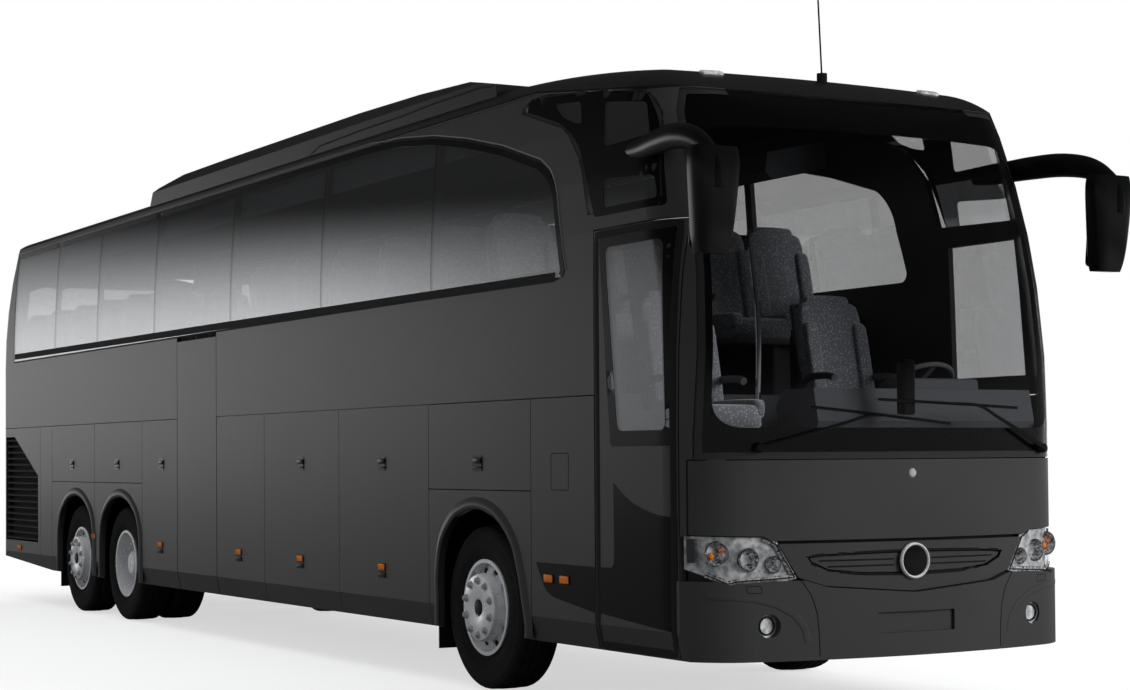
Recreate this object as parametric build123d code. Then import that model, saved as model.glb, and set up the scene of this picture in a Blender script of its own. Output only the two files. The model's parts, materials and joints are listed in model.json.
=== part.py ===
from build123d import *
from functools import cache
import math
import os

# A three-axle high-deck touring coach with its doors on the right.
# Millimetres, X forward, Y left, Z up, ground at zero.
# A station is a distance ahead of the front axle, so those behind it are negative.

# Overall sizes
body_length = 13960
body_width = 2550
front_overhang = 2720
mirror_reach = 185
wheelbase = 7090
tag_spacing = 1350
sill_height = 355
roof_height = 3750
wall = 45
panel_gap = 6
fit_gap = 0.3
overrun = 400

rear_end_x = -(body_length + mirror_reach) / 2
axle_x = rear_end_x + body_length - front_overhang
half_width = body_width / 2

# Body skin, seen from above and from the side
bumper_proud = 30
nose_x = rear_end_x + body_length - bumper_proud
nose_radius = 4000
nose_corner_radius = 400
tail_radius = 9000
tail_corner_radius = 260
screen_start = 1600
screen_lean_radius = 4300
side_lean_start = 2400
side_lean_radius = 11400
tail_lean_radius = 2600
skin_heights = [300, 1600, 2000, 2400, 2700, 3000, 3300, 3600, 3900]

# Roof line and its shoulder, as across and down from the middle of the roof
shoulder_in = 950
shoulder_in_drop = 14
shoulder_mid = 1160
shoulder_mid_drop = 75
shoulder_out = 1300
shoulder_out_drop = 225
dome_start = -200
dome_end = 1750
dome_drop = 140
brow_radius = 900
brow_sweep = 62
roof_tail_radius = 700
roof_tail_sweep = 40
roof_tail_start = 560

# Panel lines
belt_height = 1777
arch_line_height = 1235
band_bottom = 2470
gutter_height = 3600
brow_height = 3440
brow_break = 690
brow_front = 1950
tail_seam = -10997
door_post = 2316
floor_top = 1800
floor_thick = 80
tail_rise = 125
rise_start = -9300
tuck_height = 500
tuck_in = 28

# Side glass
pillar_stations = [-9144, -7774, -6146, -4293, -2462, -640]
band_rear = -10620
band_front = 1130
band_foot_radius = 60
glass = 8
glass_flange = 36
glass_joint = 7

# Doors and flaps
front_door_rear = 1461
front_door_front = 2310
front_door_top = 2700
mid_door_rear = -5543
mid_door_front = -4596
mid_door_top = 2425
door_gap = 9
flap_rebate = 20
hinge_gap = 0.5
door_arm = 500
door_arm_thick = 30
door_arm_depth = 60
door_pillar_radius = 18
door_pillar_depth = 80
door_pillar_setback = 110
front_arm_heights = [640, 1380]
mid_arm_heights = [900, 2150]
step_height = 400

# Wheels
tyre_radius = 508
tyre_width = 290
bead_radius = 290
rim_lip_radius = 298
rim_lip_thick = 10
wheel_centre = 1088
twin_gap = 40
rim_wall = 14
hub_bore_radius = 45.3
spindle_radius = 45
hand_hole_count = 10
hand_hole_radius = 27
hand_hole_circle = 226
hub_radius = 122
cap_radius = 95
twin_hub_radius = 140

# Steering
kingpin_offset = 900
kingpin_radius = 38
boss_radius = 62
ear_thick = 50
brake_radius = 205
brake_thick = 34

# Running gear
rail_offset = 420
rail_width = 80
rail_bottom = 640
rail_height = 120
beam_height = 100
beam_width = 90
bellows_radius = 105
tube_radius = 68
house_inner = 560
house_top = 1165
house_wall = 20
flap_thick = 12

drive_x = axle_x - wheelbase
tag_x = drive_x - tag_spacing
twin_centre = wheel_centre - tyre_width - twin_gap
inner_half = half_width - wall


def box_between(low, high):
    centre = [(low[i] + high[i]) / 2 for i in range(3)]
    size = [high[i] - low[i] for i in range(3)]
    return Pos(*centre) * Box(*size)


def at(station):
    """X of a station given ahead of the front axle."""
    return axle_x + station


def rod(start, end, radius):
    path = Line(start, end)
    return sweep(Plane(origin=path @ 0, z_dir=path % 0) * Circle(radius), path)


def spun(points):
    """A ring or disc about Y, from its outline as radius and sideways place."""
    return revolve(make_face(Polyline(*points, close=True)), Axis.Y)


def both_sides(solid):
    return [solid, mirror(solid, about=Plane.XZ)]


def save(node, solids):
    """Write one node from one solid or a list of separate ones."""
    if isinstance(solids, (list, tuple, ShapeList)):
        pieces = []
        for item in solids:
            pieces.extend(item.solids())
    else:
        pieces = list(solids.solids())
    shape = pieces[0] if len(pieces) == 1 else Compound(children=pieces)
    shape.label = node
    export_step(shape, os.path.join("parts", node + ".step"))


def arc_drop(radius, run):
    """How far a circle falls away over a run from its tangent point."""
    if run <= 0:
        return 0
    return radius - math.sqrt(radius * radius - run * run)


def half_width_at(height):
    return half_width - arc_drop(side_lean_radius, height - side_lean_start)


def nose_at(height):
    return nose_x - arc_drop(screen_lean_radius, height - screen_start)


def tail_at(height):
    return rear_end_x + arc_drop(tail_lean_radius, height - side_lean_start)


def corner_points(end_x, facing, half, face_radius, corner_radius):
    """Side tangent point, middle and face tangent point of one body corner, seen from above."""
    face_x = end_x - facing * face_radius
    centre_y = half - corner_radius
    reach = face_radius - corner_radius
    along = math.sqrt(reach * reach - centre_y * centre_y)
    centre_x = face_x + facing * along
    join_angle = math.atan2(centre_y, along)
    mid_angle = (join_angle + math.pi / 2) / 2
    join = (face_x + facing * face_radius * math.cos(join_angle),
            face_radius * math.sin(join_angle))
    mid_x = centre_x + facing * corner_radius * math.cos(mid_angle)
    mid_y = centre_y + corner_radius * math.sin(mid_angle)
    return (centre_x, half), (mid_x, mid_y), join


def skin_outline(height, inset):
    """The body's closed outline at one height, moved inwards by the inset."""
    half = half_width_at(height) - inset
    nose = nose_at(height) - inset
    tail = tail_at(height) + inset
    front = corner_points(nose, 1, half, nose_radius - inset, nose_corner_radius - inset)
    rear = corner_points(tail, -1, half, tail_radius - inset, tail_corner_radius - inset)

    def left(point):
        return (point[0], point[1], height)

    def right(point):
        return (point[0], -point[1], height)

    return Wire([
        ThreePointArc(right(front[2]), (nose, 0, height), left(front[2])),
        ThreePointArc(left(front[2]), left(front[1]), left(front[0])),
        Line(left(front[0]), left(rear[0])),
        ThreePointArc(left(rear[0]), left(rear[1]), left(rear[2])),
        ThreePointArc(left(rear[2]), (tail, 0, height), right(rear[2])),
        ThreePointArc(right(rear[2]), right(rear[1]), right(rear[0])),
        Line(right(rear[0]), right(front[0])),
        ThreePointArc(right(front[0]), right(front[1]), right(front[2])),
    ])


def skin_x(side, height, inset):
    """X of the front skin at a sideways place and a height."""
    half = half_width_at(height) - inset
    nose = nose_at(height) - inset
    front = corner_points(nose, 1, half, nose_radius - inset, nose_corner_radius - inset)
    if abs(side) <= front[2][1]:
        return nose - arc_drop(nose_radius - inset, abs(side))
    corner = nose_corner_radius - inset
    over = abs(side) - (half - corner)
    return front[0][0] + math.sqrt(corner * corner - over * over)


def above_roof(inset):
    """The space above the roof, swept along the roof line with its shoulders."""
    top = roof_height - inset
    tail_flat = rear_end_x + roof_tail_start
    dome_run = dome_end - dome_start
    dome_radius = (dome_run * dome_run + dome_drop * dome_drop) / (2 * dome_drop)
    dome_angle = math.asin(dome_run / dome_radius)
    tail_angle = math.radians(roof_tail_sweep)
    brow_angle = dome_angle + math.radians(brow_sweep)
    brow_centre_x = at(dome_end) - brow_radius * math.sin(dome_angle)
    brow_centre_z = top - dome_drop - brow_radius * math.cos(dome_angle)

    def tail_point(angle):
        return (tail_flat - roof_tail_radius * math.sin(angle), 0,
                top - roof_tail_radius * (1 - math.cos(angle)))

    def dome_point(angle):
        return (at(dome_start) + dome_radius * math.sin(angle), 0,
                top - dome_radius * (1 - math.cos(angle)))

    def brow_point(angle):
        return (brow_centre_x + brow_radius * math.sin(angle), 0,
                brow_centre_z + brow_radius * math.cos(angle))

    path = Wire([
        ThreePointArc(tail_point(tail_angle), tail_point(tail_angle / 2), tail_point(0)),
        Line(tail_point(0), dome_point(0)),
        ThreePointArc(dome_point(0), dome_point(dome_angle / 2), dome_point(dome_angle)),
        ThreePointArc(dome_point(dome_angle), brow_point((dome_angle + brow_angle) / 2),
                      brow_point(brow_angle)),
    ])
    side = half_width + overrun
    edge = (shoulder_out, -shoulder_out_drop)
    middle = (shoulder_mid, -shoulder_mid_drop)
    inner = (shoulder_in, -shoulder_in_drop)

    def other(point):
        return (-point[0], point[1])

    section = Wire([
        ThreePointArc(other(edge), other(middle), other(inner)),
        ThreePointArc(other(inner), (0, 0), inner),
        ThreePointArc(inner, middle, edge),
        Line(edge, (side, edge[1])),
        Line((side, edge[1]), (side, overrun)),
        Line((side, overrun), (-side, overrun)),
        Line((-side, overrun), (-side, edge[1])),
        Line((-side, edge[1]), other(edge)),
    ])
    start = Plane(origin=path @ 0, x_dir=(0, 1, 0), z_dir=path % 0)
    return sweep(start * Face(section), path)


@cache
def hull(inset):
    """The whole body as one solid, moved inwards by the inset."""
    outlines = [skin_outline(height, inset) for height in skin_heights]
    return Solid.make_loft(outlines, True) - above_roof(inset)


def underbody_waste():
    """What lies below the sill, with the tucked-in skirt and the rising tail."""
    reach = half_width + overrun
    front = nose_x + overrun
    back = rear_end_x - overrun
    waste = box_between((back, -reach, 0), (front, reach, sill_height))
    rise = Plane.XZ * Polygon(
        (at(rise_start), sill_height), (back, sill_height + tail_rise), (back, 0),
        (at(rise_start), 0), align=None)
    waste += extrude(rise, amount=reach, both=True)
    for side in (-1, 1):
        foot = side * (half_width - tuck_in)
        skirt = Plane.YZ * Polygon(
            (side * half_width, tuck_height), (foot, sill_height), (foot, 0), (side * reach, 0),
            (side * reach, tuck_height), align=None)
        waste += Pos(back, 0, 0) * extrude(skirt, amount=front - back, dir=(1, 0, 0))
    return waste


# Side outlines, each corner as station and height
band_arch = [(-1700, 3590), (-200, 3432), (800, 3175)]
band_shoulder = [(975, 3050), (1040, 2855)]
quarter_corners = [
    (520, 3500), (690, 3570), (1400, 3520), (1950, 3425), (2060, 3300), (2150, 2780),
    (1390, 2800), (1290, 3110), (1090, 3330),
]
driver_window = [(1500, 1860), (2240, 1860), (2160, 2740), (1470, 2740)]
door_window = [(1690, 1520), (2255, 1520), (2215, 2640), (1545, 2640)]
front_arch = [
    (-545, 0), (-545, 759), (-479, 943), (-331, 1050), (0, 1130), (310, 1051), (454, 932),
    (569, 741), (645, 442), (645, 0),
]

# Front outlines, each corner as sideways place and height
screen_corners = [(1216, 1415), (1216, 1545), (1128, 3300), (1085, 3434)]
lamp_corners = [
    (1300, 1014), (900, 1003), (835, 970), (726, 788), (1040, 772), (1090, 760),
    (1200, 822), (1300, 880),
]
grille_corners = [(824, 968), (712, 790), (552, 742), (0, 700)]
panel_low = 985
panel_half = 1229
bumper_top = 774
fog_side = 894
fog_height = 541
fog_radius = 62
fog_depth = 20
plate_width = 520
plate_height = 112
plate_centre_height = 537
plate_depth = 26

# Rear outlines
rear_window_half = 1040
rear_window_low = 2470
rear_window_high = 3330
hatch_half = 930
hatch_low = 640
hatch_high = 1960
tail_lamp_in = 985
tail_lamp_out = 1120
tail_lamp_low = 820
tail_lamp_high = 1620


def band_outline(shrink, sill):
    """The side glass band, drawn in by the shrink and with its lower edge at the sill."""
    rear = at(band_rear) + shrink
    top = band_arch[0][1] - shrink
    start = (at(band_arch[0][0]), top)
    mid = (at(band_arch[1][0]), band_arch[1][1] - shrink)
    end = (at(band_arch[2][0]), band_arch[2][1] - shrink)
    shoulder = (at(band_shoulder[0][0]) - shrink, band_shoulder[0][1] - shrink)
    side = (at(band_shoulder[1][0]) - shrink, band_shoulder[1][1])
    foot = (at(band_front) - shrink, sill + band_foot_radius)
    turn = band_foot_radius * (1 - math.sqrt(1 / 2))
    return make_face([
        Line((rear, sill), (rear, top)),
        Line((rear, top), start),
        ThreePointArc(start, mid, end),
        ThreePointArc(end, shoulder, side),
        Line(side, foot),
        ThreePointArc(foot, (foot[0] - turn, sill + turn), (foot[0] - band_foot_radius, sill)),
        Line((foot[0] - band_foot_radius, sill), (rear, sill)),
    ])


def side_corners(corners):
    return Polygon(*[(at(x), z) for x, z in corners], align=None)


def arch_outline(centre, grow):
    """A wheel arch with an upright foot and a crown of two arcs."""
    half = tyre_radius + 62 + grow
    crown = house_top - 45 + grow
    waist = tyre_radius * 1.35
    haunch = half * 0.78
    haunch_height = (waist + crown * 1.9) / 2.9 + grow / 2
    return make_face([
        Line((centre - half, 0), (centre - half, waist)),
        ThreePointArc((centre - half, waist), (centre - haunch, haunch_height), (centre, crown)),
        ThreePointArc((centre, crown), (centre + haunch, haunch_height), (centre + half, waist)),
        Line((centre + half, waist), (centre + half, 0)),
        Line((centre + half, 0), (centre - half, 0)),
    ])


def mirrored(corners):
    return list(corners) + [(-y, z) for y, z in reversed(corners) if y > 0]


def across(face):
    """A side outline carried through the whole width."""
    return extrude(Plane.XZ * face, amount=half_width + overrun, both=True)


def one_side(face, side):
    """A side outline carried out through one wall."""
    reach = half_width + overrun
    start = inner_half - overrun
    prism = extrude(Plane.XZ * face, amount=reach, both=True)
    low = rear_end_x - overrun
    high = nose_x + overrun
    top = roof_height + overrun
    if side < 0:
        return prism & box_between((low, -reach, -overrun), (high, -start, top))
    return prism & box_between((low, start, -overrun), (high, reach, top))


def ahead(face, start):
    """A front outline carried forward from one place."""
    return Pos(start, 0, 0) * extrude(Plane.YZ * face, amount=nose_x + overrun - start,
                                      dir=(1, 0, 0))


def shrunk(face, by):
    return offset(face, -by, kind=Kind.INTERSECTION)


# Whole skins, cut once and shared
outer_skin = hull(0)
inner_skin = hull(wall)
waste = underbody_waste()
shell = outer_skin - inner_skin - waste
glass_skin = outer_skin - hull(glass)
seat_skin = hull(glass + fit_gap)
front_start = at(door_post)
screen_back = at(brow_front)
reach_y = half_width + overrun
reach_x = nose_x + overrun
back_x = rear_end_x - overrun
top_z = roof_height + overrun

screen_face = Polygon(*mirrored(screen_corners), align=None)
screen_hole = shrunk(screen_face, glass_flange)
quarter_face = side_corners(quarter_corners)
quarter_hole = shrunk(quarter_face, glass_flange)
driver_face = side_corners(driver_window)
driver_hole = shrunk(driver_face, glass_flange)
door_face = side_corners(door_window)
door_hole = shrunk(door_face, glass_flange)
rear_window_face = Polygon(
    (-rear_window_half, rear_window_low), (rear_window_half, rear_window_low),
    (rear_window_half, rear_window_high), (-rear_window_half, rear_window_high), align=None)


def behind(face):
    """A rear outline carried out through the tail."""
    end = at(tail_seam)
    return Pos(back_x, 0, 0) * extrude(Plane.YZ * face, amount=end - back_x, dir=(1, 0, 0))


def side_box(low_station, high_station, low, high, side):
    """A block through one side wall between two stations and two heights."""
    inner = inner_half - overrun
    if side < 0:
        return box_between((at(low_station), -reach_y, low), (at(high_station), -inner, high))
    return box_between((at(low_station), inner, low), (at(high_station), reach_y, high))


def window_holes():
    """Everything cut right through the walls for glass."""
    sill = band_bottom + 55
    band = across(band_outline(glass_flange, sill))
    for station in pillar_stations:
        band -= box_between((at(station) - glass_flange, -reach_y, 0),
                            (at(station) + glass_flange, reach_y, top_z))
    return [band, across(quarter_hole), one_side(driver_hole, 1),
            ahead(screen_hole, screen_back), behind(shrunk(rear_window_face, glass_flange))]


def window_seats():
    """The shallow recess that the glass lies in."""
    prisms = [across(band_outline(0, band_bottom)), across(quarter_face),
              one_side(driver_face, 1), ahead(screen_face, screen_back), behind(rear_window_face)]
    return [prism - seat_skin for prism in prisms]


def roof_region():
    """Everything above the gutter, which drops towards the brow."""
    face = Polygon(
        (back_x, gutter_height), (at(brow_break), gutter_height), (at(brow_front), brow_height),
        (reach_x, brow_height), (reach_x, top_z), (back_x, top_z), align=None)
    return across(face)


upper_shell = shell & box_between((back_x, -reach_y, belt_height), (reach_x, reach_y, top_z))
for seat in window_seats():
    upper_shell -= seat
for hole in window_holes():
    upper_shell -= hole
roof_block = roof_region()
lower_shell = shell & box_between((back_x, -reach_y, 0), (reach_x, reach_y, belt_height))


def roof_shell():
    return upper_shell & roof_block


def side_wall(side):
    """The upper wall, from the belt to the gutter, with its window openings."""
    low = belt_height + panel_gap
    region = side_box(tail_seam, door_post - fit_gap, low, top_z, side)
    piece = (upper_shell & region) - Pos(0, 0, -fit_gap) * roof_block
    if side < 0:
        piece -= side_box(front_door_rear, door_post, 0, front_door_top + door_gap, side)
        piece -= side_box(mid_door_rear, mid_door_front, 0, band_bottom - door_gap, side)
    return piece


# Lower side panels, as rear station, front station, lowest and highest edge
right_panels = [
    ("engine side", -10997, -9650, 0, belt_height),
    ("tail post", -9650, -9229, 0, belt_height),
    ("tag arch", -9229, -7842, 0, arch_line_height),
    ("over tag arch", -9229, -7842, arch_line_height, belt_height),
    ("drive arch", -7842, -6463, 0, arch_line_height),
    ("over drive arch", -7842, -6463, arch_line_height, belt_height),
    ("behind mid door", -6463, -5543, 0, belt_height),
    ("front arch", -683, 708, 0, arch_line_height),
    ("over front arch", -683, 708, arch_line_height, belt_height),
    ("ahead of front arch", 708, 1461, 0, belt_height),
]
left_panels = [row for row in right_panels if row[0] != "ahead of front arch"]
left_panels.append(("ahead of front arch", 708, 1461, 0, belt_height))
left_panels.append(("driver's side", 1461, 2316, 0, belt_height))
left_panels.append(("ahead of drive arch", -5543, -4986, 0, belt_height))
flap_edges = {
    -1: [-4596, -3561, -2136, -683],
    1: [-4986, -3561, -2136, -683],
}

# Slatted cooling opening in the engine's side panels
louvre_corners = [(-10930, 620), (-9730, 620), (-9730, 1290), (-10600, 1690), (-10930, 1690)]
slat_count = 17
slat_thick = 10
slat_depth = 34


def louvre(side):
    """Slats that lean outwards in the engine's side opening, each run into its frame."""
    low = louvre_corners[0][1]
    high = louvre_corners[3][1]
    pitch = (high - low) / slat_count
    opening = one_side(side_corners(louvre_corners), side)
    middle = half_width - wall / 2
    slats = None
    for index in range(slat_count):
        height = low + pitch * (index + 0.5)
        bar = Box(at(-9730) - at(-10930) + wall, slat_depth, slat_thick)
        bar = Pos(at(-10330), side * middle, height) * Rot(side * -28, 0, 0) * bar
        slats = bar if slats is None else slats + bar
    return slats & shrunk_block(opening, side)


def shrunk_block(opening, side):
    inner = half_width - wall
    depth = box_between((back_x, -half_width, 0), (reach_x, -inner, top_z))
    if side > 0:
        depth = mirror(depth, about=Plane.XZ)
    return opening & depth


def side_panels(side):
    """The separate lower panels of one side, with wheel arches and engine louvres cut."""
    rows = right_panels if side < 0 else left_panels
    strip = lower_shell & side_box(tail_seam, door_post, 0, belt_height, side)
    arches = [
        across(side_corners(front_arch)), across(arch_outline(drive_x, 0)),
        across(arch_outline(tag_x, 0)),
    ]
    half = panel_gap / 2
    pieces = []
    for name, rear, front, low, high in rows:
        top = high if high == belt_height else high - half
        piece = strip & side_box(rear + half, front - half, low + half, top, side)
        if "arch" in name:
            for arch in arches:
                piece -= arch
        if name == "engine side":
            piece -= one_side(side_corners(louvre_corners), side)
            piece += louvre(side)
        pieces.append(piece)
    return pieces


def luggage_flap(side, index):
    """One top-hinged luggage flap, its upper edge rebated to close on the wall."""
    edges = flap_edges[side]
    half = panel_gap / 2
    region = side_box(edges[index] + half, edges[index + 1] - half, 0, belt_height, side)
    piece = lower_shell & region
    lip = side_box(edges[index] + half, edges[index + 1] - half, belt_height - panel_gap,
                   belt_height + panel_gap - hinge_gap, side)
    rebate = half_width - flap_rebate
    if side < 0:
        lip = lip & box_between((back_x, -rebate, 0), (reach_x, -inner_half, top_z))
    else:
        lip = lip & box_between((back_x, inner_half, 0), (reach_x, rebate, top_z))
    return piece + lip


def front_region():
    return box_between((front_start, -reach_y, 0), (reach_x, reach_y, top_z))


def screen_frame():
    """Pillars and header that carry the windscreen, and the strips beside the front panel."""
    upper = (upper_shell & front_region()) - Pos(0, 0, -fit_gap) * roof_block
    low = panel_low + panel_gap
    strips = lower_shell & front_region()
    strips &= box_between((front_start, -reach_y, low), (reach_x, reach_y, belt_height))
    strips -= box_between((front_start, -panel_half - panel_gap, 0),
                          (reach_x, panel_half + panel_gap, 1415))
    strips -= ahead(screen_hole, screen_back)
    strips -= ahead(screen_face, screen_back) - seat_skin
    strips -= ahead(Polygon(*lamp_corners, align=None), front_start)
    strips -= ahead(Polygon(*[(-y, z) for y, z in lamp_corners], align=None), front_start)
    return upper + strips


def front_panel():
    """The service panel between the lamps and the windscreen."""
    region = box_between((front_start, -panel_half, panel_low), (reach_x, panel_half, 1409))
    piece = lower_shell & region
    piece -= ahead(Polygon(*[(y + panel_gap, z + panel_gap) for y, z in lamp_corners],
                           align=None), front_start)
    piece -= ahead(Polygon(*[(-y - panel_gap, z + panel_gap) for y, z in lamp_corners],
                           align=None), front_start)
    return piece


def front_bumper():
    """The bumper, proud of the nose, with pockets for plate and fog lamps."""
    proud = hull(-bumper_proud) - inner_skin - waste
    region = box_between((front_start, -half_width, 0), (reach_x, half_width, panel_low))
    piece = proud & region
    lamp = Polygon(*[(y, z - panel_gap) for y, z in lamp_corners], align=None)
    grille = Polygon(*mirrored([(y + panel_gap, z - panel_gap) for y, z in grille_corners]),
                     align=None)
    top = Polygon((-reach_y, bumper_top), (reach_y, bumper_top), (reach_y, top_z),
                  (-reach_y, top_z), align=None)
    for face in (lamp, mirror(lamp, about=Plane.YZ), grille, top):
        piece -= ahead(face, front_start)
    for side in (-1, 1):
        fog_x = skin_x(fog_side, fog_height, 0)
        piece -= rod((fog_x - fog_depth, side * fog_side, fog_height),
                     (fog_x + overrun, side * fog_side, fog_height), fog_radius)
    plate_x = nose_x + bumper_proud - plate_depth
    low = plate_centre_height - plate_height / 2
    high = plate_centre_height + plate_height / 2
    piece -= box_between((plate_x, -plate_width / 2, low), (reach_x, plate_width / 2, high))
    return piece


# Slot in the grille's face, from the middle outwards and back, as sideways place and height
slot_corners = [
    (40, 920), (300, 916), (560, 909), (664, 901), (640, 862), (540, 818), (340, 797), (40, 790),
]
slot_gap = 13
grille_face = 14
grille_rim = 24
badge_radius = 98
badge_height = 862


def grille():
    """A bowed face with one long slot, a bar that fills its middle and a bare round boss."""
    outline = Polygon(*mirrored(grille_corners), align=None)
    slot = Polygon(*mirrored(slot_corners), align=None)
    prism = ahead(outline, front_start)
    back = (hull(wall - glass) - inner_skin) & prism
    rim = prism - ahead(shrunk(outline, grille_rim), front_start)
    face = (outer_skin - hull(grille_face)) & (prism - ahead(slot, front_start))
    bar = (hull(glass) - inner_skin) & ahead(shrunk(slot, slot_gap), front_start)
    boss_x = skin_x(0, badge_height, 0)
    boss = rod((boss_x - wall + glass / 2, 0, badge_height), (boss_x + glass, 0, badge_height),
               badge_radius)
    return back + ((outer_skin - inner_skin) & rim) + face + bar + boss


def headlamps():
    """Lamp housings behind their lenses, each with two round reflectors, and the fog lamps."""
    pieces = []
    housing_depth = 2 * wall
    for side in (-1, 1):
        corners = [(side * y, z) for y, z in lamp_corners]
        face = Polygon(*corners, align=None)
        prism = ahead(shrunk(face, fit_gap), front_start)
        body = (hull(wall / 2) - hull(housing_depth)) & prism
        for place, height, radius in lamp_bowls:
            bowl_x = skin_x(place, height, 0)
            body -= rod((bowl_x - housing_depth * 0.7, side * place, height),
                        (bowl_x + overrun, side * place, height), radius)
        pieces.append(body)
        fog_x = skin_x(fog_side, fog_height, 0)
        pieces.append(rod((fog_x - fog_depth + fit_gap, side * fog_side, fog_height),
                          (fog_x, side * fog_side, fog_height),
                          fog_radius - fit_gap))
    return pieces


# Reflector bowls, as sideways place, height and radius
lamp_bowls = [(1130, 920, 62), (975, 888, 58), (840, 860, 44)]


def headlamp_lenses():
    pieces = []
    for side in (-1, 1):
        corners = [(side * y, z) for y, z in lamp_corners]
        prism = ahead(shrunk(Polygon(*corners, align=None), fit_gap), front_start)
        pieces.append(glass_skin & prism)
    return pieces


def windscreen():
    return glass_skin & ahead(shrunk(screen_face, glass_joint / 2), screen_back)


def windows():
    """The bonded panes of both sides, the quarter lights, the driver's window and the rear."""
    band = across(band_outline(glass_joint / 2, band_bottom + glass_joint / 2))
    for station in pillar_stations:
        band -= box_between((at(station) - glass_joint / 2, -reach_y, 0),
                            (at(station) + glass_joint / 2, reach_y, top_z))
    pieces = [glass_skin & band]
    pieces.append(glass_skin & across(shrunk(quarter_face, glass_joint / 2)))
    pieces.append(glass_skin & one_side(shrunk(driver_face, glass_joint / 2), 1))
    pieces.append(glass_skin & behind(shrunk(rear_window_face, glass_joint / 2)))
    return pieces


def rear_region(low, high):
    return box_between((back_x, -reach_y, low), (at(tail_seam) - panel_gap, reach_y, high))


def lamp_block(side, shrink):
    low = side * (tail_lamp_in + shrink)
    high = side * (tail_lamp_out - shrink)
    return box_between((back_x, min(low, high), tail_lamp_low + shrink),
                       (at(tail_seam) - panel_gap, max(low, high), tail_lamp_high - shrink))


def hatch_block(shrink):
    return box_between((back_x, -hatch_half + shrink, hatch_low + shrink),
                       (at(tail_seam), hatch_half - shrink, hatch_high - shrink))


def rear_panel():
    """The tail with its window, lamp and engine hatch openings."""
    upper = (upper_shell & rear_region(0, top_z)) - Pos(0, 0, -fit_gap) * roof_block
    lower = lower_shell & rear_region(0, belt_height)
    piece = upper + lower
    piece -= hatch_block(0)
    for side in (-1, 1):
        piece -= lamp_block(side, 0)
    return piece


def engine_hatch():
    """The lid over the engine, its upper edge close under the tail panel."""
    block = box_between((back_x, -hatch_half + panel_gap, hatch_low + panel_gap),
                        (at(tail_seam) - panel_gap, hatch_half - panel_gap,
                         hatch_high - hinge_gap))
    groove = box_between((back_x, -hatch_half, hatch_high - panel_gap),
                         (rear_end_x + flap_rebate, hatch_half, hatch_high))
    return (shell & block) - groove


def tail_lamps():
    pieces = []
    for side in (-1, 1):
        pieces.append(shell & lamp_block(side, fit_gap))
    return pieces


# Roof pod over the cooling plant, as station and height
pod_profile = [
    (-6620, 3650), (-6500, 3840), (-6150, 3925), (-5200, 3935), (-2400, 3935), (-1300, 3905),
    (-420, 3850), (60, 3760), (60, 3650),
]
pod_half = 1150
pod_top_half = 985
pod_shoulder = 3800


def roof_pod():
    """The raised housing of the cooling plant, seated on the roof."""
    side = extrude(Plane.XZ * side_corners(pod_profile), amount=pod_half, both=True)
    top = pod_profile[3][1]
    section = Plane.YZ * Polygon(
        (-pod_half, pod_profile[0][1]), (pod_half, pod_profile[0][1]), (pod_half, pod_shoulder),
        (pod_top_half, top), (-pod_top_half, top), (-pod_half, pod_shoulder), align=None)
    run = at(pod_profile[-1][0]) - at(pod_profile[0][0]) + overrun
    bar = Pos(at(pod_profile[0][0]) - overrun / 2, 0, 0) * extrude(section, amount=run,
                                                                 dir=(1, 0, 0))
    return (side & bar) - hull(-fit_gap)


def front_door():
    """The leaf of the front door with its window opening and its hinge lugs."""
    low = front_door_rear + door_gap
    high = front_door_front - door_gap / 3
    region = side_box(low, high, 0, front_door_top, -1)
    leaf = shell & region
    leaf -= one_side(door_face, -1) - seat_skin
    leaf -= one_side(door_hole, -1)
    return leaf + door_lugs(front_door_front - door_pillar_setback, -1, front_arm_heights)


def door_arm_end(pillar_station, turn):
    """Station where a door's arms hold its leaf."""
    return pillar_station + turn * door_arm


pillar_y = -(half_width - door_pillar_depth)
lug_thick = 12
lug_half = 34


def door_lugs(pillar_station, turn, heights):
    """Plates on the leaf that lie on the arms' ends."""
    station = door_arm_end(pillar_station, turn)
    lugs = None
    for height in heights:
        low = height + door_arm_depth / 2 + fit_gap
        plate = box_between(
            (at(station) - lug_half, -inner_half - lug_thick, low),
            (at(station) + lug_half, pillar_y + lug_half / 2, low + lug_thick))
        lugs = plate if lugs is None else lugs + plate
    return lugs


def door_arm_frame(pillar_station, turn, heights):
    """An upright post with two arms that reach along the leaf."""
    post_x = at(pillar_station)
    end_x = at(door_arm_end(pillar_station, turn))
    frame = rod((post_x, pillar_y, step_height + fit_gap),
                (post_x, pillar_y, heights[-1] + 2 * door_arm_depth), door_pillar_radius)
    for height in heights:
        low = min(post_x, end_x)
        high = max(post_x, end_x)
        frame += box_between((low, pillar_y - door_arm_thick / 2, height - door_arm_depth / 2),
                             (high, pillar_y + door_arm_thick / 2, height + door_arm_depth / 2))
        frame += rod((end_x, pillar_y, height - door_arm_depth / 2),
                     (end_x, pillar_y, height + door_arm_depth / 2), door_arm_thick / 2)
    return frame


def front_door_glass():
    return glass_skin & one_side(shrunk(door_face, glass_joint / 2), -1)


def mid_door():
    region = side_box(mid_door_rear + door_gap, mid_door_front - door_gap, 0, mid_door_top, -1)
    return (shell & region) + door_lugs(mid_door_rear + door_pillar_setback, 1, mid_arm_heights)


# Steps up from each door, as share of the well's depth from outside and height above ground
front_steps = [(0.0, 400), (0.34, 640), (0.60, 870), (0.84, 1100)]
mid_steps = [(0.0, 400), (0.16, 680), (0.32, 960), (0.48, 1240), (0.64, 1520)]
well_clear = 70
driver_floor = 1100
deck_front = 1180
well_inner = -530
mid_well_inner = -250


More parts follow.
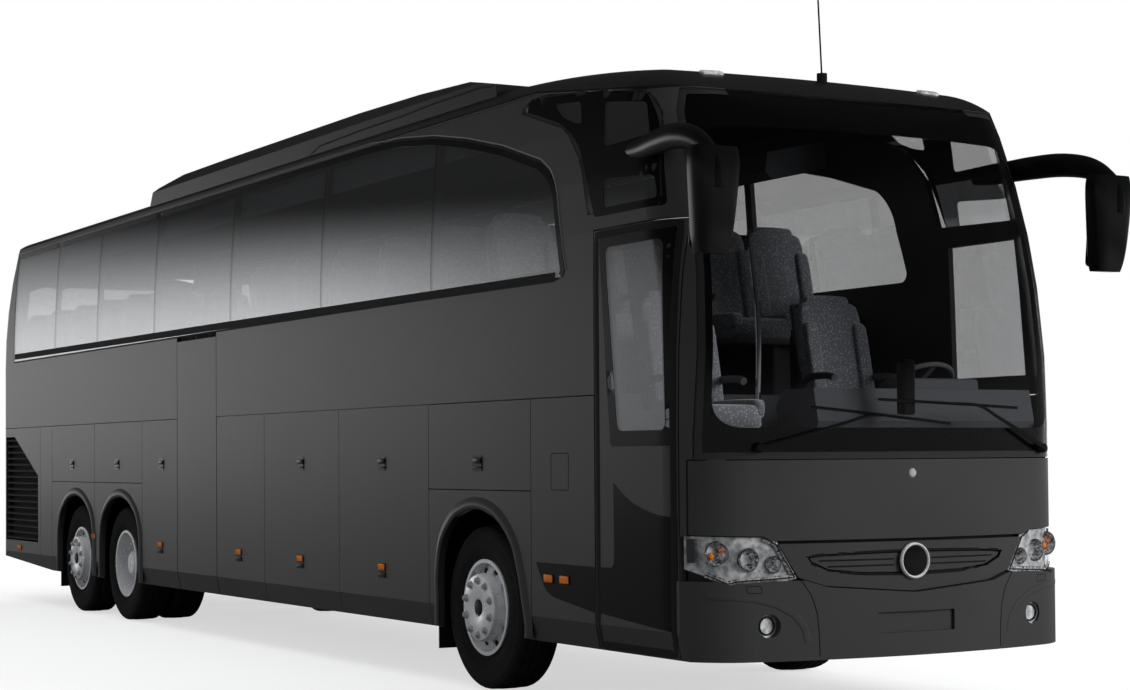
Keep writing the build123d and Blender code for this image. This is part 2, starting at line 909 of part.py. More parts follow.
def stairs(low_station, high_station, inner_y, rows, top):
    """A solid flight of steps that climbs inwards from the right-hand wall."""
    outer_y = -(inner_half - well_clear)
    depth = inner_y - outer_y
    points = []
    for index in range(len(rows)):
        share, height = rows[index]
        points.append((outer_y + depth * share, height if index == 0 else rows[index - 1][1]))
        points.append((outer_y + depth * share, height))
    points.append((inner_y, rows[-1][1]))
    points.append((inner_y, top))
    points.append((inner_y + wall, top))
    points.append((inner_y + wall, rows[0][1] - wall))
    points.append((outer_y, rows[0][1] - wall))
    profile = []
    for point in points:
        if not profile or point != profile[-1]:
            profile.append(point)
    flight = Plane.YZ * Polygon(*profile, align=None)
    return Pos(at(low_station), 0, 0) * extrude(flight, amount=high_station - low_station,
                                                dir=(1, 0, 0))


def pillar_foot(pillar_station):
    """The bearing plate beside the lowest step on which a door's post stands."""
    step_edge = -(inner_half - well_clear)
    return box_between(
        (at(pillar_station) - lug_half, pillar_y - door_pillar_radius, step_height - wall),
        (at(pillar_station) + lug_half, step_edge + lug_half, step_height))


def cabin_floor():
    """The raised passenger deck, the driver's floor and both flights of steps."""
    deck_low = floor_top - floor_thick
    edge = inner_half - fit_gap
    deck = box_between((rear_end_x, -edge, deck_low), (at(deck_front), edge, floor_top))
    deck &= hull(wall + fit_gap)
    deck -= box_between((at(mid_door_rear), -inner_half - overrun, 0),
                        (at(mid_door_front), mid_well_inner + wall, top_z))
    deck += stairs(mid_door_rear, mid_door_front, mid_well_inner, mid_steps, floor_top)
    front_low = driver_floor - floor_thick
    riser = box_between((at(deck_front) - wall, -edge, front_low),
                        (at(deck_front), edge, floor_top))
    cab = box_between((at(deck_front) - wall, -edge, front_low),
                      (at(door_post), edge, driver_floor))
    cab &= hull(wall + fit_gap)
    well = box_between((at(front_door_rear) - wall, -inner_half - overrun, 0),
                       (at(front_door_front), well_inner + wall, driver_floor + overrun))
    steps = stairs(front_door_rear - wall, front_door_front, well_inner, front_steps,
                   driver_floor)
    feet = pillar_foot(front_door_front - door_pillar_setback)
    feet += pillar_foot(mid_door_rear + door_pillar_setback)
    return deck + riser + (cab - well) + steps + feet


# Upright walls between the luggage bays, as station
bay_walls = [-6460, -4966, -3561, -2136, -740]
bay_floor_top = 440
bay_floor_thick = 36
bay_wall_thick = 40


def luggage_bay():
    """The bays' floor and cross walls, open at both sides behind their flaps."""
    deck_low = floor_top - floor_thick
    floor_low = bay_floor_top - bay_floor_thick
    floor = box_between((at(bay_walls[0]), -inner_half + well_clear, floor_low),
                        (at(bay_walls[-1]), inner_half - well_clear, bay_floor_top))
    for station in bay_walls:
        floor += box_between(
            (at(station) - bay_wall_thick / 2, -inner_half + fit_gap, floor_low),
            (at(station) + bay_wall_thick / 2, inner_half - fit_gap, deck_low))
    front_wall = box_between(
        (at(mid_door_front) + wall, -inner_half + fit_gap, floor_low),
        (at(mid_door_front) + wall + house_wall, mid_well_inner + 2 * wall, deck_low))
    back_wall = box_between(
        (at(mid_door_rear) - wall - house_wall, -inner_half + fit_gap, floor_low),
        (at(mid_door_rear) - wall, mid_well_inner + 2 * wall, deck_low))
    well = box_between((at(mid_door_rear) - wall, -reach_y, 0),
                       (at(mid_door_front) + wall, mid_well_inner + 2 * wall, top_z))
    return (floor - well) + front_wall + back_wall


def wheelhouse(rear, front, side):
    """The box over the wheels on one side, open outwards and downwards."""
    outer = box_between((at(rear), house_inner, tyre_radius),
                        (at(front), inner_half - fit_gap, house_top))
    cavity = box_between((at(rear) + house_wall, house_inner + house_wall, 0),
                         (at(front) - house_wall, reach_y, house_top - house_wall))
    house = outer - cavity
    notch = 2 * tube_radius
    for centre in (drive_x, tag_x):
        house -= box_between((centre - notch, 0, 0),
                             (centre + notch, wheel_centre, tyre_radius + notch))
    return house if side > 0 else mirror(house, about=Plane.XZ)


house_spans = [(-720, 708), (-9210, -6480)]
cross_stations = [-560, 560, 1300, -10800, -9160, -7765, -6560]
bulkhead_low = 420


def wheelhouses():
    """Every wheelhouse, with the mud flaps that hang behind the front and tag wheels."""
    pieces = []
    for side in (-1, 1):
        for rear, front in house_spans:
            house = wheelhouse(rear, front, side)
            pieces.append(house)
    return pieces


def mud_flaps():
    pieces = []
    for side in (-1, 1):
        for rear, front in house_spans:
            low = sill_height - mud_flap_drop
            near = at(rear) + house_wall
            flap = box_between(
                (near, house_inner + house_wall + mud_flap_spare, low),
                (near + flap_thick, inner_half - mud_flap_spare, tyre_radius + mud_flap_drop))
            pieces.append(flap if side > 0 else mirror(flap, about=Plane.XZ))
    return pieces


mud_flap_spare = 30
mud_flap_drop = 150


def underframe():
    """Rails under the cab and the tail with their cross members, and the nose bulkhead."""
    rail_top = rail_bottom + rail_height
    spans = [(at(bay_walls[-1]) + bay_wall_thick / 2, reach_x),
             (at(tail_seam), at(bay_walls[0]) - bay_wall_thick / 2)]
    frame = None
    for low, high in spans:
        for side in (-1, 1):
            rail = box_between((low, side * rail_offset - rail_width / 2, rail_bottom),
                               (high, side * rail_offset + rail_width / 2, rail_top))
            frame = rail if frame is None else frame + rail
    for station in cross_stations:
        frame += box_between((at(station), -house_inner, rail_bottom + rail_height / 4),
                             (at(station) + rail_width, house_inner, rail_top))
    frame &= hull(wall + house_wall)
    bulkhead = (hull(wall) - hull(wall + house_wall)) & box_between(
        (front_start, -reach_y, bulkhead_low), (reach_x, reach_y, driver_floor))
    for side in (-1, 1):
        bulkhead -= ahead(Polygon(*[(side * y, z) for y, z in lamp_corners], align=None),
                          front_start)
    return [frame + bulkhead]


# Jacking pads under the frame, as station and sideways place
jack_pads = [(-1010, 1000), (-5900, 1000)]
jack_size = 120


def jacking_pads():
    pieces = []
    for station, place in jack_pads:
        pad = box_between((at(station) - jack_size / 2, place - jack_size / 2,
                           bay_floor_top - 2 * bay_floor_thick),
                          (at(station) + jack_size / 2, place + jack_size / 2,
                           bay_floor_top - bay_floor_thick))
        pieces.extend(both_sides(pad))
    return pieces


def front_axle():
    """A dropped beam with a boss and a kingpin at each end, under its air bellows."""
    height = tyre_radius
    end = kingpin_offset
    drop = beam_height * 0.8
    low = height - beam_height / 2
    points = [
        (-end, low), (-end, low + beam_height), (-end * 0.82, low + beam_height),
        (-end * 0.7, low + beam_height - drop), (end * 0.7, low + beam_height - drop),
        (end * 0.82, low + beam_height), (end, low + beam_height), (end, low),
        (end * 0.84, low), (end * 0.72, low - drop), (-end * 0.72, low - drop), (-end * 0.84, low),
    ]
    beam = Pos(at(0) - beam_width / 2, 0, 0) * extrude(
        Plane.YZ * Polygon(*points, align=None), amount=beam_width, dir=(1, 0, 0))
    pin_low = height - beam_height / 2 - ear_thick
    pin_high = height + beam_height / 2 + ear_thick
    for side in (-1, 1):
        place = side * end
        beam += rod((at(0), place, low), (at(0), place, low + beam_height), boss_radius)
        beam += rod((at(0), place, pin_low), (at(0), place, pin_high), kingpin_radius)
        beam += rod((at(0), side * rail_offset, low + beam_height - drop),
                    (at(0), side * rail_offset, rail_bottom), bellows_radius)
    return beam


def knuckle(side):
    """Two ears on the kingpin, a bridge, the spindle and the brake disc."""
    height = tyre_radius
    low = height - beam_height / 2
    high = height + beam_height / 2
    bridge_near = kingpin_offset + boss_radius + panel_gap
    bridge_far = bridge_near + house_wall
    ear_half = boss_radius - panel_gap
    piece = box_between((at(0) - ear_half, bridge_near, low - ear_thick),
                        (at(0) + ear_half, bridge_far, high + ear_thick))
    for start, end in ((low - ear_thick, low - fit_gap), (high + fit_gap, high + ear_thick)):
        piece += rod((at(0), kingpin_offset, start), (at(0), kingpin_offset, end), boss_radius)
        piece += box_between((at(0) - ear_half, kingpin_offset, start),
                             (at(0) + ear_half, bridge_far, end))
    bore = rod((at(0), kingpin_offset, low - 2 * ear_thick),
               (at(0), kingpin_offset, high + 2 * ear_thick), kingpin_radius + kingpin_clearance)
    piece -= bore
    piece += rod((at(0), bridge_near, height), (at(0), spindle_end, height), spindle_radius)
    piece += rod((at(0), bridge_far, height), (at(0), bridge_far + brake_thick, height),
                 brake_radius)
    return piece if side > 0 else mirror(piece, about=Plane.XZ)


kingpin_clearance = 0.05
spindle_end = 1150
hub_inner = 1032
brake_span = 60


def rear_axles():
    """The drive axle with its gear housing and the tag axle, each on air bellows."""
    height = tyre_radius
    pieces = []
    for centre, inner, swell in ((drive_x, hub_start_twin, 190), (tag_x, hub_inner, 0)):
        tube = rod((centre, -inner + house_wall, height), (centre, inner - house_wall, height),
                   tube_radius)
        tube += rod((centre, -spindle_end, height), (centre, spindle_end, height),
                    spindle_radius)
        if swell:
            tube += Pos(centre, 0, height) * Sphere(swell)
            tube += rod((centre + swell * 0.6, 0, height), (centre + swell * 1.5, 0, height),
                        swell / 2)
        else:
            for side in (-1, 1):
                face = side * (inner - house_wall)
                tube += rod((centre, face - side * brake_thick, height),
                            (centre, face, height), brake_radius)
        for side in (-1, 1):
            tube += rod((centre, side * rail_offset, height),
                        (centre, side * rail_offset, rail_bottom), bellows_radius)
        pieces.append(tube)
    return pieces


hub_start_twin = 600


def tyre(centre_y):
    """One tyre with a rounded tread shoulder and bulged walls, its axle along Y."""
    half = tyre_width / 2
    tread = half * 0.84
    shoulder_radius = tyre_radius - rim_lip_thick
    wall_radius = (tyre_radius + bead_radius) / 2
    bead_half = half * 0.80
    profile = make_face([
        Line((bead_radius, -bead_half), (bead_radius, bead_half)),
        ThreePointArc((bead_radius, bead_half), (wall_radius, half), (shoulder_radius, tread)),
        Line((shoulder_radius, tread), (tyre_radius, tread - rim_lip_thick)),
        Line((tyre_radius, tread - rim_lip_thick), (tyre_radius, rim_lip_thick - tread)),
        Line((tyre_radius, rim_lip_thick - tread), (shoulder_radius, -tread)),
        ThreePointArc((shoulder_radius, -tread), (wall_radius, -half), (bead_radius, -bead_half)),
    ])
    return Pos(0, centre_y, 0) * revolve(profile, Axis.Y)


bead_half = tyre_width / 2 * 0.80
bead_clear = 6


def barrel(centre_y):
    """The rolled barrel of one rim with a lip over each bead."""
    inner = bead_radius - fit_gap - rim_wall
    outer = bead_radius - fit_gap
    seat = bead_half + bead_clear
    edge = seat + rim_lip_thick
    ring = spun([
        (inner, -edge), (inner, edge), (rim_lip_radius, edge), (rim_lip_radius, seat),
        (outer, seat), (outer, -seat), (rim_lip_radius, -seat), (rim_lip_radius, -edge),
    ])
    return Pos(0, centre_y, 0) * ring


def hand_holes(circle, radius, reach):
    """A ring of holes through a wheel's disc."""
    holes = None
    for index in range(hand_hole_count):
        turn = 2 * math.pi * index / hand_hole_count
        x = circle * math.cos(turn)
        z = circle * math.sin(turn)
        hole = rod((x, -reach, z), (x, reach, z), radius)
        holes = hole if holes is None else holes + hole
    return holes


def rim_single():
    """A convex steered or trailing wheel, its hub and cap outboard, about its own centre."""
    inner = bead_radius - fit_gap - rim_wall / 2
    edge = bead_half
    hub_low = hub_inner - wheel_centre
    disc = spun([
        (hub_radius, edge - 46), (inner, edge - 78), (inner, edge - 62), (hand_hole_circle, edge - 22),
        (hub_radius + 64, edge - 2), (hub_radius, edge - 2),
    ])
    disc -= hand_holes(hand_hole_circle, hand_hole_radius, tyre_width)
    hub = spun([
        (0, spindle_end - wheel_centre + fit_gap), (hub_bore_radius,
                                                    spindle_end - wheel_centre + fit_gap),
        (hub_bore_radius, hub_low), (hub_radius + 2, hub_low), (hub_radius + 2, edge + 12),
        (cap_radius, edge + 18), (cap_radius, edge + 34), (cap_radius * 0.8, edge + 44),
        (0, edge + 48),
    ])
    return barrel(0) + disc + hub


def rim_twin():
    """Two barrels on one deep disc, with a long hub that ends in a flat cap."""
    pitch = wheel_centre - twin_centre
    inner = bead_radius - fit_gap - rim_wall / 2
    plane = -pitch / 2
    disc = spun([
        (twin_hub_radius - 4, plane - 10), (hand_hole_circle, plane - 10), (inner, plane - 48),
        (inner, plane + 48), (hand_hole_circle, plane + 10), (twin_hub_radius - 4, plane + 10),
    ])
    disc -= hand_holes(hand_hole_circle, hand_hole_radius, tyre_width)
    hub_low = hub_start_twin - wheel_centre
    tip = spindle_end - wheel_centre + fit_gap
    hub = spun([
        (0, tip), (hub_bore_radius, tip), (hub_bore_radius, hub_low),
        (twin_hub_radius, hub_low), (twin_hub_radius, plane + 60), (twin_hub_radius * 0.86, plane + 70),
        (twin_hub_radius * 0.80, tip + 4), (twin_hub_radius * 0.62, tip + 24), (0, tip + 24),
    ])
    return barrel(0) + barrel(-pitch) + disc + hub


def place_wheel(solid, x, side):
    """Set a wheel piece on its axle; the pieces are drawn for the left-hand side."""
    moved = Pos(x, wheel_centre, tyre_radius) * solid
    return moved if side > 0 else mirror(moved, about=Plane.XZ)


# Mirror arm as points ahead of the front axle, out from the middle and up
mirror_arm = [(1790, 1212, 3072), (2300, 1275, 3102), (2690, 1335, 3085), (2868, 1362, 2960),
              (2862, 1362, 2790)]
mirror_arm_radius = 38
mirror_bends = [900, 260, 130]
mirror_head_centre = (2800, 1365, 2735)
mirror_head_size = (150, 250, 590)
mirror_head_round = 52
mirror_foot = 150


def mirrors():
    """Two hanging mirror heads, each on an arm that rises from its window pillar."""
    points = [(at(x), y, z) for x, y, z in mirror_arm]
    path = FilletPolyline(*points, radius=mirror_bends)
    arm = sweep(Plane(origin=path @ 0, z_dir=path % 0) * Circle(mirror_arm_radius), path)
    head = Box(*mirror_head_size)
    head = fillet(head.edges().filter_by(Axis.Z), mirror_head_round)
    head = fillet(head.faces().sort_by(Axis.Z)[-1].edges(), mirror_head_round * 0.8)
    head = fillet(head.faces().sort_by(Axis.Z)[0].edges(), mirror_head_round * 0.8)
    centre = (at(mirror_head_centre[0]), mirror_head_centre[1], mirror_head_centre[2])
    head = Pos(*centre) * Rot(0, 4, 0) * head
    both = (arm + head) - hull(-fit_gap)
    return both_sides(both)


# Wipers as pivot, elbow and blade ends, each sideways and up on the screen
wiper_rows = [
    ((-930, 1475), (-300, 1640), (-640, 1690), (260, 1600)),
    ((1010, 1465), (480, 1700), (-220, 1730), (800, 1690)),
]
wiper_stand = 34
wiper_arm_radius = 11
wiper_blade_radius = 9


def on_screen(place, stand):
    return (skin_x(place[0], place[1], 0) + stand, place[0], place[1])


def wipers():
    pieces = []
    for pivot, elbow, near, far in wiper_rows:
        base = on_screen(pivot, fit_gap)
        top = on_screen(pivot, wiper_stand)
        end = on_screen(elbow, wiper_stand)
        piece = rod((base[0], base[1], base[2]), (top[0] + wiper_arm_radius, top[1], top[2]),
                    2 * wiper_arm_radius)
        piece += rod(top, end, wiper_arm_radius)
        middle = ((near[0] + far[0]) / 2, (near[1] + far[1]) / 2)
        low = on_screen(near, wiper_stand / 2)
        centre = on_screen(middle, wiper_stand / 2)
        high = on_screen(far, wiper_stand / 2)
        piece += rod(low, centre, wiper_blade_radius)
        piece += rod(centre, high, wiper_blade_radius)
        piece += rod(centre, end, wiper_arm_radius)
        pieces.append(piece - hull(-fit_gap))
    return pieces


# Dashboard outline as station and height
dash_profile = [
    (2120, 1100), (2090, 1560), (2040, 1700), (2110, 1800), (2400, 1800), (2440, 1620),
    (2300, 1100),
]
dash_half = 1080
wheel_hub = (2010, 560, 1830)
steering_radius = 225
steering_tube = 15
steering_lean = 58


def dashboard():
    """The dashboard with its cowl, steering column and wheel."""
    bar = extrude(Plane.XZ * side_corners(dash_profile), amount=dash_half, both=True)
    bar -= box_between((at(front_door_rear), -reach_y, 0), (reach_x, well_inner + 2 * wall, top_z))
    cowl = box_between((at(2080), 300, 1780), (at(2260), 820, 1868))
    bar += fillet(cowl.edges().filter_by(Axis.Y), 34)
    wheel = Torus(steering_radius, steering_tube)
    hub = Cylinder(60, 2 * steering_tube)
    spoke = Box(2 * steering_radius - steering_tube, 36, steering_tube)
    wheel = wheel + hub + spoke + Rot(0, 0, 90) * Pos(-steering_radius / 2, 0, 0) * Box(
        steering_radius, 36, steering_tube)
    column = Pos(0, 0, -150) * Cylinder(40, 300)
    set_wheel = Pos(at(wheel_hub[0]), wheel_hub[1], wheel_hub[2]) * Rot(0, steering_lean - 90, 0)
    return bar + set_wheel * (wheel + column)


# A seat's side outline as distance ahead of its back and height above its floor
seat_profile = [
    (120, 330), (120, 440), (80, 470), (-60, 1080), (-30, 1130), (40, 1130), (90, 1060),
    (190, 560), (560, 520), (610, 450), (600, 350), (540, 330),
]
seat_leg = [(220, 0), (470, 0), (430, 330), (260, 330)]
seat_pair = 960
seat_pitch = 810
seat_first = 560
seat_rows = 14
seat_wall_gap = 25
aisle_half = 215


def seat(width, foot_width):
    """One seat block with its pedestal, its back at zero, facing forwards."""
    body = extrude(Plane.XZ * Polygon(*seat_profile, align=None), amount=width / 2, both=True)
    leg = extrude(Plane.XZ * Polygon(*seat_leg, align=None), amount=foot_width / 2, both=True)
    return body + leg


def passenger_seats():
    """Rows of double seats on both sides of the aisle, with a gap at the middle door."""
    pair = seat(seat_pair, seat_pair / 3)
    centre = inner_half - seat_wall_gap - seat_pair / 2
    pieces = []
    for index in range(seat_rows):
        station = seat_first - seat_pitch * index - seat_profile[8][0]
        for side in (-1, 1):
            nose = station + seat_profile[9][0] + seat_wall_gap
            back = station + seat_profile[3][0] - seat_wall_gap
            over_well = back < mid_door_front and nose > mid_door_rear
            if side < 0 and over_well:
                continue
            pieces.append(Pos(at(station), side * centre, floor_top) * pair)
    return pieces


crew_seat_width = 520
driver_seat_place = (1240, 560)
guide_seat_place = (1240, -700)


def crew_seats():
    """The driver's seat on its pedestal, and the guide's seat beside the front steps."""
    single = seat(crew_seat_width, crew_seat_width / 2)
    driver = Pos(at(driver_seat_place[0]), driver_seat_place[1], driver_floor) * single
    return [driver]


# Luggage rack outline as sideways place and height
rack_profile = [(1205, 3340), (760, 3240), (700, 3290), (720, 3420), (1190, 3520)]
rack_span = (-10700, 300)


def luggage_racks():
    run = rack_span[1] - rack_span[0]
    face = Plane.YZ * Polygon(*rack_profile, align=None)
    rack = Pos(at(rack_span[0]), 0, 0) * extrude(face, amount=run, dir=(1, 0, 0))
    inside = hull(wall + fit_gap)
    return [piece & inside for piece in both_sides(rack)]


engine_size = (1500, 900, 1050)
engine_station = -10150
engine_bottom = 640


def engine_block():
    """The engine as one plain block over the tail rails."""
    size_x, size_y, size_z = engine_size
    low = rail_bottom + rail_height
    return box_between((at(engine_station) - size_x / 2, -size_y / 2, low),
                       (at(engine_station) + size_x / 2, size_y / 2, low + size_z * 0.85))


antenna_station = 1900
antenna_tip = 4055
antenna_radius = 5
antenna_foot = 30


def antenna():
    """A whip antenna on a small round foot on the dome."""
    dome_z = roof_height - dome_drop - antenna_foot / 2
    x = at(antenna_station)
    foot = rod((x, 0, dome_z - antenna_foot), (x, 0, dome_z + antenna_foot), antenna_foot)
    whip = rod((x, 0, dome_z), (x - antenna_foot, 0, antenna_tip), antenna_radius)
    return (foot + whip) - hull(-fit_gap)


# Amber lamps ahead of the front wheels, as station and height
corner_lamps = [(935, 700), (1130, 700)]
lamp_half_length = 62
lamp_half_height = 26
lamp_proud = 6


def marker_lamps():
    """Amber lamps that stand a little proud of the panels ahead of the front wheels."""
    pieces = []
    for side in (-1, 1):
        for station, height in corner_lamps:
            block = side_box(station - lamp_half_length, station + lamp_half_length,
                             height - lamp_half_height, height + lamp_half_height, side)
            near = half_width + fit_gap
            far = half_width + lamp_proud
            low = min(side * near, side * far)
            pieces.append(block & box_between((back_x, low, 0),
                                              (reach_x, low + far - near, top_z)))
    return pieces


os.makedirs("parts", exist_ok=True)

save("underframe", underframe() + jacking_pads())
save("cabin_floor", cabin_floor())
save("luggage_bay", luggage_bay())
save("wheelhouses", wheelhouses())
save("mud_flaps", mud_flaps())
save("roof_shell", roof_shell())
save("side_wall_right", side_wall(-1))
save("side_wall_left", side_wall(1))
save("side_panels_right", side_panels(-1))
save("side_panels_left", side_panels(1))
save("screen_frame", screen_frame())
save("front_panel", front_panel())
save("front_bumper", front_bumper())
save("grille", grille())
save("headlamps", headlamps())
save("headlamp_lenses", headlamp_lenses())
save("windscreen", windscreen())
save("windows", windows())
save("rear_panel", rear_panel())
save("tail_lamps", tail_lamps())
save("marker_lamps", marker_lamps())
save("roof_pod", roof_pod())
save("mirrors", mirrors())
save("wipers", wipers())
save("antenna", antenna())
save("dashboard", dashboard())
save("crew_seats", crew_seats())
save("passenger_seats", passenger_seats())
save("luggage_racks", luggage_racks())
save("engine_block", engine_block())
save("front_axle", front_axle())
save("rear_axles", rear_axles())
save("engine_hatch", engine_hatch())
save("front_door", front_door())
save("front_door_glass", front_door_glass())
save("front_door_arm", door_arm_frame(front_door_front - door_pillar_setback, -1,
                                      front_arm_heights))
save("mid_door", mid_door())
save("mid_door_arm", door_arm_frame(mid_door_rear + door_pillar_setback, 1, mid_arm_heights))
for side, word in ((-1, "right"), (1, "left")):
    save("knuckle_" + word, knuckle(side))
    for index, place in enumerate(("rear", "middle", "front")):
        save("luggage_flap_" + word + "_" + place, luggage_flap(side, index))
    for x, place in ((axle_x, "front"), (tag_x, "tag")):
        save("tyre_" + place + "_" + word, place_wheel(tyre(0), x, side))
        save("rim_" + place + "_" + word, place_wheel(rim_single(), x, side))
    pair = [tyre(0), tyre(twin_centre - wheel_centre)]
    save("tyre_drive_" + word, [place_wheel(item, drive_x, side) for item in pair])
    save("rim_drive_" + word, place_wheel(rim_twin(), drive_x, side))
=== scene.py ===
"""The looks of a three-axle touring coach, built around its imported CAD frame.

Everything is in metres in the frame's own axes: X forward, Y to the left, Z up.
A station is a distance ahead of the front axle.
"""

import json
import math

import bmesh
import bpy
from bpy.props import (
    FloatProperty, FloatVectorProperty, IntProperty, PointerProperty, StringProperty,
)
from mathutils import Matrix, Vector, geometry
from mathutils.bvhtree import BVHTree

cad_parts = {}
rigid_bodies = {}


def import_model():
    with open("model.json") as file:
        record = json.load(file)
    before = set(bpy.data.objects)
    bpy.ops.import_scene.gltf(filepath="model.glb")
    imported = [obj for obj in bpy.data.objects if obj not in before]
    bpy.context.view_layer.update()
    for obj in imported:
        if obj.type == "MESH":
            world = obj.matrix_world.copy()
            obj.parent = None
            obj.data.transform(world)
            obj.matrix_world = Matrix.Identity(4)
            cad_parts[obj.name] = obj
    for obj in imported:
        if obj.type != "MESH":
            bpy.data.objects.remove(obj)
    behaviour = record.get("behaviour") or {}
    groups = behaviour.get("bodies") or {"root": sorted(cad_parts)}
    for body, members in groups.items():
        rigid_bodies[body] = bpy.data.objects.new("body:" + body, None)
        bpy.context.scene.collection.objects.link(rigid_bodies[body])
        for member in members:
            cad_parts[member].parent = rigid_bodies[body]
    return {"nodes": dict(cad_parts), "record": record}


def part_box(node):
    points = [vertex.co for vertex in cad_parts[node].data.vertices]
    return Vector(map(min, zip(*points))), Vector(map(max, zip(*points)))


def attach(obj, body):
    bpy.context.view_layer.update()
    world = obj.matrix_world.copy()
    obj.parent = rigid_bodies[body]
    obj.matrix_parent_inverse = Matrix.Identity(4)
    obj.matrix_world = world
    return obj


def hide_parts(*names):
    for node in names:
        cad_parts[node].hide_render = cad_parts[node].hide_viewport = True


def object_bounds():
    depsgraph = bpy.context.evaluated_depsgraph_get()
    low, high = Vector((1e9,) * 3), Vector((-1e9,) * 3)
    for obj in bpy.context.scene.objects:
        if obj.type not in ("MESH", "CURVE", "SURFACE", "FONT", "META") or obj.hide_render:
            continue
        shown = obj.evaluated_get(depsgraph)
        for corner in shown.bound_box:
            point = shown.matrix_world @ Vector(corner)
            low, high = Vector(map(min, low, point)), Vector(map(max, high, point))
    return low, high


bl_info = {
    "name": "Touring coach looks",
    "version": (1, 0, 0),
    "blender": (4, 5, 0),
    "location": "View3D > Sidebar > Coach",
    "description": "Builds the finishes, trim, tyres, seats and lamps of a touring coach",
    "category": "Object",
}

for startup_object in list(bpy.data.objects):
    bpy.data.objects.remove(startup_object)
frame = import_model()
nodes = frame["nodes"]
CAD_BOX = [list(corner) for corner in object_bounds()]

# Each side with the sign of its Y
SIDES = {"right": -1, "left": 1}
WHEELS = ("front", "drive", "tag")
TYRE_LOW, TYRE_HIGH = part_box("tyre_front_right")
AXLE_X = (TYRE_LOW.x + TYRE_HIGH.x) / 2
TYRE_RADIUS = (TYRE_HIGH.z - TYRE_LOW.z) / 2
# Where rays onto the skin start, outside the coach
FAR = 12.0
BODY = "body"


def at(station):
    """The X of a station, both in metres."""
    return AXLE_X + station


# ---- Colours and materials


def linear(code):
    """An sRGB hex colour such as 3A3B3D as linear red, green, blue and alpha."""
    parts = [int(code[i:i + 2], 16) / 255 for i in (0, 2, 4)]
    return (*(c / 12.92 if c <= 0.04045 else ((c + 0.055) / 1.055) ** 2.4 for c in parts), 1.0)


def add_node(tree, kind, settings=None, links=None):
    """Add a node, set its properties or input values, and link its inputs from sockets."""
    node = tree.nodes.new(kind)
    for key, value in (settings or {}).items():
        if isinstance(key, str) and hasattr(node, key):
            setattr(node, key, value)
        else:
            node.inputs[key].default_value = value
    for key, socket in (links or {}).items():
        tree.links.new(socket, node.inputs[key])
    return node


def new_finish(name, colour, roughness, metallic=0.0, **inputs):
    """A material with one Principled shader. Inputs may be named with _ for a space."""
    material = bpy.data.materials.new(name)
    material.use_nodes = True
    tree = material.node_tree
    shader = tree.nodes["Principled BSDF"]
    shader.inputs["Base Color"].default_value = linear(colour)
    shader.inputs["Roughness"].default_value = roughness
    shader.inputs["Metallic"].default_value = metallic
    for key, value in inputs.items():
        shader.inputs[key.replace("_", " ")].default_value = value
    return material, tree, shader


def per_mm(size):
    """The scale of a procedural pattern whose features are this many millimetres apart."""
    return 1000.0 / size


def noise(tree, spacing, detail):
    """Noise in the piece's own space, its features this many millimetres apart."""
    place = add_node(tree, "ShaderNodeTexCoord")
    return add_node(tree, "ShaderNodeTexNoise", {"Scale": per_mm(spacing), "Detail": detail},
                    {"Vector": place.outputs["Object"]}).outputs["Fac"]


def grained(tree, shader, spacing, height):
    """Bump whose grains lie this many millimetres apart and stand this many high."""
    bump = add_node(tree, "ShaderNodeBump", {"Strength": 0.6, "Distance": height / 1000},
                    {"Height": noise(tree, spacing, 3.0)})
    tree.links.new(bump.outputs["Normal"], shader.inputs["Normal"])


def two_colours(tree, shader, factor, low, high):
    """Base colour that turns from low to high, each a place on the ramp and a hex colour."""
    ramp = add_node(tree, "ShaderNodeValToRGB", {}, {"Fac": factor})
    for element, (place, code) in zip(ramp.color_ramp.elements, (low, high)):
        element.position = place
        element.color = linear(code)
    tree.links.new(ramp.outputs["Color"], shader.inputs["Base Color"])
    return ramp


def mottled(tree, shader, spacing, dark, light):
    """Colour that wanders between two hex values over this many millimetres."""
    two_colours(tree, shader, noise(tree, spacing, 4.0), (0.35, dark), (0.65, light))


def moquette():
    """Woven seat moquette: grey pile with a small diamond figure, 15 mm apart."""
    material, tree, shader = new_finish("wool_moquette", "3E4046", 0.92, Sheen_Weight=0.35)
    place = add_node(tree, "ShaderNodeTexCoord")
    turn = add_node(tree, "ShaderNodeMapping", {"Rotation": (0.0, 0.6, 0.785)},
                    {"Vector": place.outputs["Object"]})
    cells = add_node(tree, "ShaderNodeTexVoronoi", {"Scale": per_mm(15)},
                     {"Vector": turn.outputs["Vector"]})
    ramp = two_colours(tree, shader, cells.outputs["Distance"], (0.18, "8A8C90"),
                       (0.42, "55575C"))
    ramp.color_ramp.interpolation = "EASE"
    grained(tree, shader, 3, 0.8)
    return material


def polished_aluminium():
    """Forged and polished wheel aluminium: its gloss wanders along the rim."""
    material, tree, shader = new_finish("forged_aluminium", "E4E5E7", 0.24, 0.55)
    rough = add_node(tree, "ShaderNodeMapRange", {"To Min": 0.16, "To Max": 0.34},
                     {"Value": noise(tree, 45, 5.0)})
    tree.links.new(rough.outputs["Result"], shader.inputs["Roughness"])
    grained(tree, shader, 2, 0.03)
    return material


